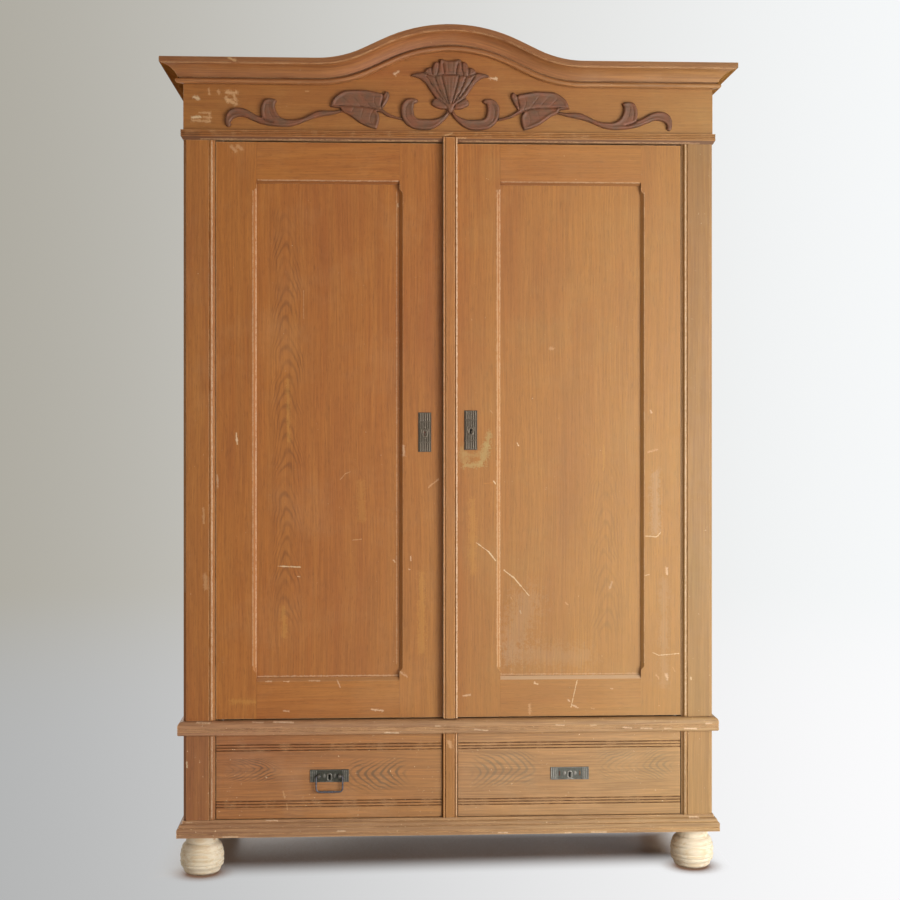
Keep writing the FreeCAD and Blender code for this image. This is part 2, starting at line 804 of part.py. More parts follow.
def door_frame(x_low, x_high, low_stile, high_stile):
    # stiles, rails and panel between two edges; the stiles' chamfers stop, the rails' run through
    sight_low = x_low + low_stile
    sight_high = x_high - high_stile
    rail_low_z = door_low_z + bottom_rail_height
    rail_high_z = door_high_z - top_rail_height
    panel_y = door_face_y + panel_recess
    groove = block(sight_low - panel_groove_depth, sight_high + panel_groove_depth,
                   panel_y, panel_y + panel_thickness,
                   rail_low_z - panel_groove_depth, rail_high_z + panel_groove_depth)
    stile_a = block(x_low, sight_low, door_face_y, door_back_y, door_low_z, door_high_z)
    stile_b = block(sight_high, x_high, door_face_y, door_back_y, door_low_z, door_high_z)
    rail_a = block(sight_low, sight_high, door_face_y, door_back_y, door_low_z, rail_low_z)
    rail_b = block(sight_low, sight_high, door_face_y, door_back_y, rail_high_z, door_high_z)
    stop = chamfer_stop_distance
    through = chamfer_stop_length

    def at(x, z):
        return Vector(x, door_face_y, z)

    stile_a = stile_a.cut(groove).cut(chamfer_cutter(
        at(sight_low, rail_low_z + stop), at(sight_low, rail_high_z - stop), Vector(-1, 0, 0)))
    stile_b = stile_b.cut(groove).cut(chamfer_cutter(
        at(sight_high, rail_low_z + stop), at(sight_high, rail_high_z - stop), Vector(1, 0, 0)))
    rail_a = rail_a.cut(groove).cut(chamfer_cutter(
        at(sight_low - through, rail_low_z), at(sight_high + through, rail_low_z), Vector(0, 0, -1)))
    rail_b = rail_b.cut(groove).cut(chamfer_cutter(
        at(sight_low - through, rail_high_z), at(sight_high + through, rail_high_z), Vector(0, 0, 1)))
    reach = panel_groove_depth - panel_play
    panel = block(sight_low - reach, sight_high + reach, panel_y, panel_y + panel_thickness,
                  rail_low_z - panel_groove_depth, rail_high_z + reach)
    return [stile_a, stile_b], [rail_a, rail_b], panel


def keyhole(x, z, y_low, y_high):
    # a round hole with a slot below it
    hole = rod(Vector(x, y_low, z), Vector(0, 1, 0), keyhole_radius, y_high - y_low)
    slot = block(x - keyhole_slot_width / 2, x + keyhole_slot_width / 2, y_low, y_high,
                 z - keyhole_slot_length, z)
    return hole.fuse(slot)


def escutcheon(x, z):
    # a plate with a raised rim round a sunk field, and a keyhole
    half_w = escutcheon_width / 2
    half_h = escutcheon_height / 2
    face = door_face_y - escutcheon_thickness
    plate = block(x - half_w, x + half_w, face, door_face_y, z - half_h, z + half_h)
    field = block(x - half_w + escutcheon_rim, x + half_w - escutcheon_rim,
                  face - cut_overrun, face + escutcheon_field_depth,
                  z - half_h + escutcheon_rim, z + half_h - escutcheon_rim)
    return plate.cut(field).cut(keyhole(x, z, face - cut_overrun, door_face_y + cut_overrun))


def lock_bolt(gap, x_low, x_high):
    # the door lock's bolt, or its channel or mortise with a gap round it
    y = door_back_y - lock_case_depth / 2
    z = escutcheon_centre_height
    half_y = lock_bolt_thickness / 2 + gap
    half_z = lock_bolt_height / 2 + gap
    return block(x_low, x_high, y - half_y, y + half_y, z - half_z, z + half_z)


def lock_case():
    return block(right_meeting_x, right_meeting_x + lock_case_width,
                 door_back_y - lock_case_depth, door_back_y,
                 escutcheon_centre_height - lock_case_height / 2,
                 escutcheon_centre_height + lock_case_height / 2)


def door_lock_case():
    channel = lock_bolt(seat_gap, right_meeting_x - cut_overrun,
                        right_meeting_x + lock_bolt_length + seat_gap)
    key = keyhole(right_escutcheon_x, escutcheon_centre_height,
                  door_back_y - lock_case_depth - cut_overrun, door_back_y - lock_case_depth / 2)
    return [lock_case().cut(channel).cut(key)]


def door_lock_bolt():
    return [lock_bolt(0, right_meeting_x, right_meeting_x + lock_bolt_length)]


def closing_strip():
    half = strip_width / 2
    front = door_face_y - strip_thickness
    section = beaded_section(half, front, door_face_y, strip_bead_radius, bead_quirk)
    high_z = head_z + strip_lap
    edges = outline_edges(section, lambda x, y: Vector(x, y, door_low_z))
    strip = face_of(edges).extrude(Vector(0, 0, high_z - door_low_z))
    notch = block(-half - cut_overrun, half + cut_overrun,
                  front_y - head_projection - strip_lap_gap, door_face_y + cut_overrun,
                  door_high_z, high_z + cut_overrun)
    return [strip.cut(notch)]


bolt_x = left_meeting_x - meeting_stile_width / 2
bolt_y = door_back_y + slide_bolt_stand_off


def staple(low_z):
    half = bolt_staple_width / 2
    body = block(bolt_x - half, bolt_x + half, door_back_y, bolt_y + half, low_z,
                 low_z + bolt_staple_height)
    bore = rod(Vector(bolt_x, bolt_y, low_z - cut_overrun), Vector(0, 0, 1),
               slide_bolt_radius + running_gap, bolt_staple_height + 2 * cut_overrun)
    return body.cut(bore)


def bolt_guide(low_z, high_z):
    # a plate on the left door with a staple near each end
    half = bolt_plate_width / 2
    plate = block(bolt_x - half, bolt_x + half, door_back_y, door_back_y + bolt_plate_thickness,
                  low_z, high_z)
    return plate.fuse(staple(low_z)).fuse(staple(high_z - bolt_staple_height))


def left_door_bolt_guides():
    return [bolt_guide(door_high_z - bolt_plate_length, door_high_z),
            bolt_guide(door_low_z, door_low_z + bolt_plate_length)]


def slide_bolt(end_z, way):
    # a round bolt with a knob; it ends flush with the door at rest
    bar = rod(Vector(bolt_x, bolt_y, end_z), Vector(0, 0, -way), slide_bolt_radius, slide_bolt_length)
    knob_z = end_z - way * bolt_plate_length / 2 - way * slide_bolt_throw / 2
    knob = rod(Vector(bolt_x, bolt_y, knob_z), Vector(0, 1, 0), bolt_knob_radius, bolt_knob_length)
    return [bar.fuse(knob)]


def drawer_faces():
    # inner and outer edge of the right drawer's front
    return divider_width / 2 + drawer_front_gap, opening_half - drawer_front_gap


def drawer_centre():
    low, high = drawer_faces()
    return (low + high) / 2


def drawer_middle_z():
    return drawer_z + drawer_opening_height / 2


def drawer_bolt_at(side, gap, low_z, high_z):
    x = side * drawer_centre()
    y = front_y + drawer_front_recess + drawer_front_thickness - drawer_lock_depth / 2
    half_x = drawer_bolt_width / 2 + gap
    half_y = drawer_bolt_thickness / 2 + gap
    return block(x - half_x, x + half_x, y - half_y, y + half_y, low_z, high_z)


def drawer_lock_box():
    x = drawer_centre()
    back = front_y + drawer_front_recess + drawer_front_thickness
    low_z = drawer_middle_z() - drawer_lock_below_keyhole
    return block(x - drawer_lock_width / 2, x + drawer_lock_width / 2, back - drawer_lock_depth, back,
                 low_z, low_z + drawer_lock_height)


def drawer_front():
    # the right front; V grooves make two bands of reeds across it
    low_x, high_x = drawer_faces()
    face = front_y + drawer_front_recess
    back = face + drawer_front_thickness
    low_z = drawer_z + drawer_front_end_gap
    high_z = waist_z - drawer_front_end_gap
    front = block(low_x, high_x, face, back, low_z, high_z)
    half = drawer_reed_width / 2
    for middle in (drawer_z + drawer_lower_reeds_distance, waist_z - drawer_upper_reeds_distance):
        for i in range(drawer_reed_count):
            z = middle + (i - (drawer_reed_count - 1) / 2) * drawer_reed_pitch
            points = [Vector(low_x, face, z - half), Vector(low_x, face + drawer_reed_depth, z),
                      Vector(low_x, face, z + half), Vector(low_x, face - half, z)]
            groove = Part.Face(Part.makePolygon(points + points[:1]))
            front = front.cut(groove.extrude(Vector(high_x - low_x, 0, 0)))
    front = front.cut(drawer_lock_box())
    front = front.cut(drawer_bolt_at(1, seat_gap, drawer_middle_z(), high_z + cut_overrun))
    return front.cut(keyhole(drawer_centre(), drawer_middle_z(), face - cut_overrun, back))


def drawer_box():
    # sides, back and bottom of the right drawer
    low_x, high_x = drawer_faces()
    low_x += drawer_side_inset
    high_x -= drawer_side_inset
    start_y = front_y + drawer_front_recess + drawer_front_thickness
    end_y = back_y - board_thickness - drawer_back_gap
    low_z = drawer_z + seat_gap
    high_z = low_z + drawer_side_height
    floor_z = low_z + drawer_bottom_height
    inner_low = low_x + drawer_side_thickness
    inner_high = high_x - drawer_side_thickness
    back_face = end_y - drawer_side_thickness
    return [block(low_x, inner_low, start_y, end_y, low_z, high_z),
            block(inner_high, high_x, start_y, end_y, low_z, high_z),
            block(inner_low, inner_high, back_face, end_y, floor_z + drawer_bottom_thickness,
                  high_z - drawer_back_drop),
            block(inner_low, inner_high, start_y, end_y, floor_z,
                  floor_z + drawer_bottom_thickness)]


def drawer_plate(x):
    half_w = drawer_plate_width / 2
    half_h = drawer_plate_height / 2
    z = drawer_middle_z()
    back = front_y + drawer_front_recess
    face = back - drawer_plate_thickness
    plate = block(x - half_w, x + half_w, face, back, z - half_h, z + half_h)
    return plate.cut(keyhole(x, z, face - cut_overrun, back + cut_overrun))


def bail_axis():
    face = front_y + drawer_front_recess - drawer_plate_thickness
    return Vector(-drawer_centre(), face - bail_stand_off, drawer_middle_z())


def left_drawer_plate():
    # with two bored ears for the bail's pins
    plate = drawer_plate(-drawer_centre())
    axis = bail_axis()
    leg_x = bail_width / 2 - bail_wire_radius
    outer = leg_x - bail_eye_radius
    root_y = front_y + drawer_front_recess - drawer_plate_thickness
    for side in (-1, 1):
        low_x = axis.x + side * (outer - ear_thickness / 2) - ear_thickness / 2
        ear = rod(Vector(low_x, axis.y, axis.z), Vector(1, 0, 0), ear_radius, ear_thickness)
        ear = ear.fuse(block(low_x, low_x + ear_thickness, axis.y, root_y,
                             axis.z - ear_radius, axis.z + ear_radius))
        bore = rod(Vector(low_x - cut_overrun, axis.y, axis.z), Vector(1, 0, 0),
                   bail_wire_radius + running_gap, ear_thickness + 2 * cut_overrun)
        plate = plate.fuse(ear).cut(bore)
    return [plate]


def right_drawer_plate():
    # its bail is lost; the slots that held the ears are open
    plate = drawer_plate(drawer_centre())
    back = front_y + drawer_front_recess
    for side in (-1, 1):
        x = drawer_centre() + side * plate_slot_distance
        plate = plate.cut(block(x - plate_slot_width / 2, x + plate_slot_width / 2,
                                back - drawer_plate_thickness - cut_overrun, back + cut_overrun,
                                drawer_middle_z() - plate_slot_height / 2,
                                drawer_middle_z() + plate_slot_height / 2))
    return [plate]


def left_drawer_bail():
    # one bent wire: pin, leg, crossbar, leg, pin
    axis = bail_axis()
    leg = bail_width / 2 - bail_wire_radius
    low = bail_drop - bail_wire_radius
    corner = bail_corner_radius
    eye = bail_eye_radius
    pin = leg - bail_pin_length
    half = [[(pin, 0), (leg - eye, 0)],
            rounded((leg - eye, -eye), eye, 90, 0),
            [(leg, -eye), (leg, -low + corner)],
            rounded((leg - corner, -low + corner), corner, 0, -90)]
    edges = outline_edges(half, lambda x, z: Vector(x, 0, z))
    crossbar = Part.makeLine(Vector(leg - corner, 0, -low), Vector(corner - leg, 0, -low))
    path = Part.Wire(Part.__sortEdges__(edges + [crossbar] + [mirrored(edge) for edge in edges]))
    circle = Part.Wire(Part.makeCircle(bail_wire_radius, Vector(pin, 0, 0), Vector(1, 0, 0)))
    return [path.makePipeShell([circle], True, False).translated(axis)]


def drawer_lock_case():
    channel = drawer_bolt_at(1, seat_gap, drawer_bolt_low_z() - seat_gap, waist_z)
    face = front_y + drawer_front_recess + drawer_front_thickness - drawer_lock_depth
    key = keyhole(drawer_centre(), drawer_middle_z(), face - cut_overrun, face + drawer_lock_depth / 2)
    return drawer_lock_box().cut(channel).cut(key)


def drawer_bolt_low_z():
    return waist_z - drawer_front_end_gap - drawer_bolt_length


def drawer_lock_bolt():
    return drawer_bolt_at(1, 0, drawer_bolt_low_z(), waist_z - drawer_front_end_gap)


def hat_shelf():
    return [block(-shelf_half, shelf_half, front_y + shelf_front_distance, back_y - back_thickness,
                  shelf_z, shelf_z + shelf_thickness)]


def shelf_cleats():
    return pair(block(side_panel_x - cleat_width, side_panel_x, post_back_y,
                      back_y - rear_stile_width, cleat_z, shelf_z))


def rail_socket():
    middle = (post_back_y + back_y - rear_stile_width) / 2
    inner = side_panel_x - rail_socket_thickness
    body = block(inner, side_panel_x, middle - rail_socket_width / 2, middle + rail_socket_width / 2,
                 cleat_z - rail_socket_height, cleat_z)
    bore = rod(Vector(inner - cut_overrun, middle, rail_z), Vector(1, 0, 0),
               rail_radius + running_gap, rail_socket_depth + cut_overrun)
    return body.cut(bore)


def hanging_rail():
    middle = (post_back_y + back_y - rear_stile_width) / 2
    end = side_panel_x - rail_socket_thickness + rail_socket_depth - shelf_side_gap
    return [rod(Vector(-end, middle, rail_z), Vector(1, 0, 0), rail_radius, 2 * end)]


def cut_all(solids, cutters):
    result = []
    for solid in solids:
        for cutter in cutters:
            solid = solid.cut(cutter)
        result.append(solid)
    return result


def door_nodes():
    left_stiles, left_rails, left_panel = door_frame(
        -hinge_edge_x, left_meeting_x, stile_width, meeting_stile_width)
    meeting_width = meeting_stile_width - right_meeting_x - left_meeting_x
    right_stiles, right_rails, right_panel = door_frame(
        right_meeting_x, hinge_edge_x, meeting_width, stile_width)
    plates = [pivot_plate(door_low_z, pivot_plate_margin),
              pivot_plate(door_high_z - pivot_plate_thickness, pivot_plate_margin)]
    mortise = lock_bolt(mortise_gap, left_meeting_x - lock_bolt_throw - seam_gap,
                        left_meeting_x + cut_overrun)
    lock_key = keyhole(right_escutcheon_x, escutcheon_centre_height,
                       door_face_y - cut_overrun, door_back_y - lock_case_depth)
    return {
        "left_door_stiles": cut_all(left_stiles, plates + [mortise]),
        "left_door_rails": left_rails,
        "left_door_panel": [left_panel],
        "left_door_pivots": door_pivots(),
        "left_door_escutcheon": [escutcheon(left_escutcheon_x,
                                            escutcheon_centre_height - left_escutcheon_drop)],
        "left_door_bolt_guides": left_door_bolt_guides(),
        "left_door_top_bolt": slide_bolt(door_high_z, 1),
        "left_door_bottom_bolt": slide_bolt(door_low_z, -1),
        "right_door_stiles": cut_all(right_stiles, [mirrored(p) for p in plates]
                                     + [lock_case(), lock_key]),
        "right_door_rails": right_rails,
        "right_door_panel": [right_panel],
        "right_door_pivots": [mirrored(p) for p in door_pivots()],
        "right_door_escutcheon": [escutcheon(right_escutcheon_x, escutcheon_centre_height)],
        "closing_strip": closing_strip(),
        "door_lock_case": door_lock_case(),
        "door_lock_bolt": door_lock_bolt(),
    }


def drawer_nodes():
    return {
        "left_drawer_front": [mirrored(drawer_front())],
        "left_drawer_box": [mirrored(s) for s in drawer_box()],
        "left_drawer_plate": left_drawer_plate(),
        "left_drawer_lock_case": [mirrored(drawer_lock_case())],
        "left_drawer_lock_bolt": [mirrored(drawer_lock_bolt())],
        "left_drawer_bail": left_drawer_bail(),
        "right_drawer_front": [drawer_front()],
        "right_drawer_box": drawer_box(),
        "right_drawer_plate": right_drawer_plate(),
        "right_drawer_lock_case": [drawer_lock_case()],
        "right_drawer_lock_bolt": [drawer_lock_bolt()],
    }


def carving_nodes():
    leaf = carved_piece(leaf_shares, leaf_start, leaf_length, leaf_rise, leaf_height)
    inner = carved_piece(inner_scroll_shares, inner_scroll_start, inner_scroll_length,
                         inner_scroll_rise, inner_scroll_height)
    outer = carved_piece(outer_scroll_shares, outer_scroll_start, outer_scroll_length,
                         outer_scroll_rise, outer_scroll_height)
    return {
        "carved_flower": carved_flower(),
        "carved_leaves": pair(leaf),
        "carved_inner_scrolls": pair(inner),
        "carved_outer_scrolls": pair(outer),
    }


def all_nodes():
    nodes = {
        "bun_feet": bun_feet(),
        "base_frame": base_frame(),
        "base_moulding": base_moulding(),
        "base_posts": pair(post(drawer_z, waist_z)),
        "base_sides": base_sides(),
        "base_back": base_back(),
        "drawer_divider": drawer_divider(),
        "drawer_guides": drawer_guides(),
        "waist_board": waist_board(),
        "waist_moulding": waist_moulding(),
        "corner_post_left": [corner_post()],
        "corner_post_right": [mirrored(corner_post())],
        "side_frame_left": side_frame(),
        "side_frame_right": [mirrored(s) for s in side_frame()],
        "side_panels": pair(side_panel()),
        "back_boards": back_boards(),
        "head_board": head_board(),
        "under_frieze_moulding": under_frieze_moulding(),
        "frieze_board": frieze_board(),
        "crown_box": crown_box(),
        "crown_blocks": crown_blocks(),
        "crown_moulding": crown_moulding(),
        "crown_returns": crown_returns(),
        "pivot_plates": carcass_pivot_plates(),
        "door_stops": door_stops(),
        "hat_shelf": hat_shelf(),
        "shelf_cleats": shelf_cleats(),
        "hanging_rail": hanging_rail(),
        "rail_sockets": pair(rail_socket()),
    }
    nodes.update(carving_nodes())
    nodes.update(door_nodes())
    nodes.update(drawer_nodes())
    return nodes


def main():
    os.makedirs("parts", exist_ok=True)
    nodes = all_nodes()
    for name, solids in nodes.items():
        shape = solids[0] if len(solids) == 1 else Part.makeCompound(solids)
        if not shape.isValid():
            print("not valid:", name)
        shape.exportStep("parts/" + name + ".step")
    print(len(nodes), "nodes,", sum(len(solids) for solids in nodes.values()), "solids")


main()
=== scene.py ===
import bpy
import bmesh
import math
import numpy as np
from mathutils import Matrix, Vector
from mathutils.geometry import delaunay_2d_cdt


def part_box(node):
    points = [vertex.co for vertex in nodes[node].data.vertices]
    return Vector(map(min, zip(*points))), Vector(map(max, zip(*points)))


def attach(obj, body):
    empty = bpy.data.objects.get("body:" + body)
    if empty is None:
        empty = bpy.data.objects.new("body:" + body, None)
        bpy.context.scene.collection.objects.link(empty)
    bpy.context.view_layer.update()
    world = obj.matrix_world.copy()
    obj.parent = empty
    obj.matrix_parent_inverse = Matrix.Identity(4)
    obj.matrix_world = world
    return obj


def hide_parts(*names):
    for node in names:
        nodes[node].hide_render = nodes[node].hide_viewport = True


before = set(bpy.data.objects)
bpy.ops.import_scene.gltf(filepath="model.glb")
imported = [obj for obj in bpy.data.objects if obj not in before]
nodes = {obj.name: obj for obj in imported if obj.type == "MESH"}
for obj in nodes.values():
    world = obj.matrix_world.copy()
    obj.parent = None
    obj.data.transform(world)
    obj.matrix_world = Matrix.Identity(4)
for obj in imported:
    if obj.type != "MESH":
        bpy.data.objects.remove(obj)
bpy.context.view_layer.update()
mm = 0.001

# The camera stands where the photo was taken: at chest height, a little left of the middle
eye = {"place": (-0.180, -3.954, 1.125), "turn": -2.78, "lens": 60.4, "sensor": 36,
       "shiftY": -0.0356}
lens = bpy.data.cameras.new("eye")
lens.lens = eye["lens"]
lens.sensor_width = eye["sensor"]
lens.shift_y = eye["shiftY"]
camera = bpy.data.objects.new("eye", lens)
camera.location = eye["place"]
camera.rotation_euler = (math.radians(90), 0, math.radians(eye["turn"]))
bpy.context.scene.collection.objects.link(camera)
bpy.context.scene.camera = camera
bpy.context.scene.view_settings.view_transform = "Standard"
print("camera in place")


def tone(hexColour):  # sRGB hex to the linear colour a socket takes
    parts = [int(hexColour[i:i + 2], 16) / 255 for i in (1, 3, 5)]
    return [c / 12.92 if c <= 0.04045 else ((c + 0.055) / 1.055) ** 2.4 for c in parts] + [1]


def add(tree, kind, inputs=(), **settings):  # one node, its settings, and its links or values
    made = tree.nodes.new("ShaderNode" + kind)
    for name, value in settings.items():
        setattr(made, name, value)
    live = [s for s in made.inputs if s.enabled]
    pairs = inputs.items() if isinstance(inputs, dict) else enumerate(inputs)
    for key, value in pairs:
        socket = next(s for s in live if s.name == key) if isinstance(key, str) else live[key]
        if isinstance(value, bpy.types.Node):
            value = next(s for s in value.outputs if s.enabled)
        if isinstance(value, bpy.types.NodeSocket):
            tree.links.new(value, socket)
        elif value is not None:
            socket.default_value = value
    return made


def newMaterial(name):
    made = bpy.data.materials.new(name)
    made.use_nodes = True
    made.node_tree.nodes.clear()
    return made


def newGroup(name, takes, gives):  # takes and gives map a socket's name to its kind
    tree = bpy.data.node_groups.new(name, "ShaderNodeTree")
    for way, sockets in (("INPUT", takes), ("OUTPUT", gives)):
        for label, kind in sockets.items():
            tree.interface.new_socket(label, in_out=way, socket_type="NodeSocket" + kind)
    return tree, tree.nodes.new("NodeGroupInput").outputs, tree.nodes.new("NodeGroupOutput").inputs


# Floor, lamps and world: a pale room with a low window to the front right. The floor and backdrop
# that the camera sees carry painted light: darker to the left, brighter to the right, and a painted
# shadow under the wardrobe
room = {"floor": "#f6f6f6", "floorRoughness": 0.42, "radius": 200,
        # the dark brown paints the wardrobe's shadow on the floor, out to the reach given
        "paintedShadow": "#7d5f4b", "paintedShadowReach": 0.26, "footShade": 0.05,
        "wallLeft": "#aaa69b", "wallRight": "#f8fafb", "wallSpan": (1.3, 7.0),
        "floorLeft": "#afb0b0", "floorRight": "#fdfdfe", "shadeSpan": (-0.34, 0.40),
        "spotHalf": (0.76, 0.27), "fadeSpan": (-0.16, 0.0), "fadeLean": 0.06,
        "skyLight": "#f1f0ee", "skyStrength": 0.19}
lamps = {
    "window": {"place": (2.25, -2.35, 0.86), "aim": (0.1, 0, 0.70), "size": (1.7, 1.5), "watts": 84,
               "colour": "#fdfdfc"},
    "brightWall": {"place": (1.9, -4.4, 1.0), "aim": (0, 0, 0.9), "size": (2.2, 2.2), "watts": 24,
                   "colour": "#fbfcff"},
    "wallBounce": {"place": (-3.4, -3.6, 1.5), "aim": (0, 0, 1.0), "size": (3.0, 2.6), "watts": 14,
                   "colour": "#ffdfb8"},
    "backWindow": {"place": (-1.6, 3.6, 2.2), "aim": (0, 0.2, 1.0), "size": (2.6, 2.4), "watts": 60,
                   "colour": "#fffaf4"},
}


def seenDirectly(tree):  # 1 where the camera, a gloss or a glass sees the room itself
    path = add(tree, "LightPath").outputs
    seen = path["Is Camera Ray"]
    for ray in ("Is Glossy Ray", "Is Transmission Ray"):
        seen = add(tree, "Math", [seen, path[ray]], operation="MAXIMUM")
    return seen


def buildRoom():
    mesh = bpy.data.meshes.new("floor")
    shape = bmesh.new()
    bmesh.ops.create_circle(shape, cap_ends=True, segments=96, radius=room["radius"])
    shape.to_mesh(mesh)
    shape.free()
    floor = bpy.data.objects.new("floor", mesh)
    bpy.context.scene.collection.objects.link(floor)
    made = newMaterial("floorPaint")
    tree = made.node_tree
    # painted shadow under and round the wardrobe, from ambient occlusion
    near = add(tree, "AmbientOcclusion", {"Distance": room["paintedShadowReach"]}, samples=8)
    near = add(tree, "MapRange", [near.outputs["AO"], 0.25, 0.95, 0, 1])
    shade = add(tree, "Mix", [near, tone(room["paintedShadow"]), tone(room["floor"])], data_type="RGBA")
    paint = add(tree, "BsdfPrincipled", {"Base Color": shade, "Roughness": room["floorRoughness"]})
    spot = add(tree, "TexCoord").outputs["Object"]
    away = add(tree, "VectorMath", [spot, eye["place"]], operation="SUBTRACT")
    way = add(tree, "SeparateXYZ", [add(tree, "VectorMath", [away], operation="NORMALIZE")])
    # painted light on the floor and backdrop: darker to the left, brighter toward the window on the
    # right
    across = add(tree, "MapRange", [way.outputs["X"], *room["shadeSpan"], 0, 1],
                 interpolation_type="SMOOTHSTEP")
    beyond = add(tree, "Mix", [across, tone(room["wallLeft"]), tone(room["wallRight"])],
                 data_type="RGBA")
    under = add(tree, "Mix", [across, tone(room["floorLeft"]), tone(room["floorRight"])],
                data_type="RGBA")
    reach = add(tree, "VectorMath", [spot], operation="LENGTH")
    rise = add(tree, "MapRange", [reach, *room["wallSpan"], 0, 1],
               interpolation_type="SMOOTHSTEP")
    paintedRoomLight = add(tree, "Mix", [rise, under, beyond], data_type="RGBA")
    # painted shadow close round the feet on the glowing floor
    close = add(tree, "AmbientOcclusion", {"Distance": room["footShade"]}, samples=8)
    close = add(tree, "MapRange", [close.outputs["AO"], 0.3, 0.9, 0, 1])
    paintedRoomLight = add(tree, "Mix", [close, tone(room["paintedShadow"]), paintedRoomLight], data_type="RGBA")
    glow = add(tree, "Emission", {"Color": paintedRoomLight, "Strength": 1})
    # the lamps' own light stays close round the feet, and closer still on the window's side
    spots = add(tree, "VectorMath", [spot], operation="ABSOLUTE")
    spots = add(tree, "SeparateXYZ", [spots]).outputs
    outs = [add(tree, "Math", [spots[axis], half], operation="SUBTRACT")
            for axis, half in zip("XY", room["spotHalf"])]
    out = add(tree, "Math", outs, operation="MAXIMUM")
    out = add(tree, "Math", [across, room["fadeLean"], out], operation="MULTIPLY_ADD")
    fade = add(tree, "MapRange", [out, *room["fadeSpan"], 0, 1],
               interpolation_type="SMOOTHSTEP")
    share = add(tree, "Math", [fade, seenDirectly(tree)], operation="MULTIPLY")
    add(tree, "OutputMaterial", [add(tree, "MixShader", [share, paint, glow])])
    mesh.materials.append(made)

    world = bpy.data.worlds.new("paleRoom")
    world.use_nodes = True
    bpy.context.scene.world = world
    tree = world.node_tree
    tree.nodes.clear()
    light = add(tree, "Background", {"Color": tone(room["skyLight"]),
                                     "Strength": room["skyStrength"]})
    # the backdrop's painted light: darker to the left, brighter to the right
    way = add(tree, "SeparateXYZ", [add(tree, "TexCoord").outputs["Generated"]]).outputs["X"]
    across = add(tree, "MapRange", [way, *room["shadeSpan"], 0, 1], interpolation_type="SMOOTHSTEP")
    shade = add(tree, "Mix", [across, tone(room["wallLeft"]), tone(room["wallRight"])],
                data_type="RGBA")
    wall = add(tree, "Background", {"Color": shade, "Strength": 1})
    add(tree, "OutputWorld", [add(tree, "MixShader", [seenDirectly(tree), light, wall])])

    for name, lamp in lamps.items():
        data = bpy.data.lights.new(name, "AREA")
        data.shape = "RECTANGLE"
        data.size, data.size_y = lamp["size"]
        data.energy = lamp["watts"]
        data.color = tone(lamp["colour"])[:3]
        made = bpy.data.objects.new(name, data)
        made.location = lamp["place"]
        aim = Vector(lamp["aim"]) - Vector(lamp["place"])
        made.rotation_euler = aim.to_track_quat("-Z", "Y").to_euler()
        bpy.context.scene.collection.objects.link(made)


buildRoom()
print("room and lamps in place")

# How fine each pattern is: a noise's scale is one over the size of its patches in metres
grit = {
    "ring": 150,      # rings 7 mm apart
    "stain": 5,       # stains of 200 mm
    "sway": 9,        # a flame leans over 110 mm
    "tremble": 60,    # and trembles over 17 mm
    "fade": 14,       # its line thins in patches of 70 mm
    "nick": 300,      # the ragged rim of a knock, 3 mm
    "break": 75,      # a scratch breaks off every 13 mm
    "scuff": 34,      # rubbed places of 30 mm
    "chip": 120,      # chips of 8 mm and less
    "haze": 4.2,      # the worn film's clouds, 240 mm
    "blotch": 38,     # uneven stain in the carving, 26 mm
    "fibre": (24, 300, 300),  # its fibres, 42 by 3 mm
    "polish": 60,     # rubbed wax on it, 17 mm
    "sand": 420,      # the brass's uneven cast skin, 2.4 mm
    "scale": 160,     # forge scale and rust, 6 mm
}

# Every grain group takes a place already turned to across, depth and along the grain, in metres


def buildPineGroup():  # bare softwood: wide pale early wood and thin brown late wood lines
    tree, takes, gives = newGroup("pineFigure", {"Place": "Vector"},
                                  {"Lines": "Float", "Stain": "Float"})
    slow = add(tree, "VectorMath", [takes["Place"], (7, 7, 0.9)], operation="MULTIPLY")
    drift = add(tree, "TexNoise", {"Vector": slow, "Scale": 1, "Detail": 2})
    bent = add(tree, "VectorMath", [drift.outputs["Color"], (0.05, 0.05, 0), takes["Place"]],
               operation="MULTIPLY_ADD")
    squeezed = add(tree, "VectorMath", [bent, (1, 1, 0.03)], operation="MULTIPLY")
    rings = add(tree, "TexNoise", {"Vector": squeezed, "Scale": grit["ring"], "Detail": 3,
                                   "Roughness": 0.6})
    tree.links.new(add(tree, "MapRange", [rings, 0.47, 0.68, 0, 1]).outputs[0], gives["Lines"])
    blot = add(tree, "TexNoise", {"Vector": takes["Place"], "Scale": grit["stain"], "Detail": 5,
                                  "Roughness": 0.6})
    tree.links.new(add(tree, "MapRange", [blot, 0.35, 0.7, 0, 1]).outputs[0], gives["Stain"])
    return tree


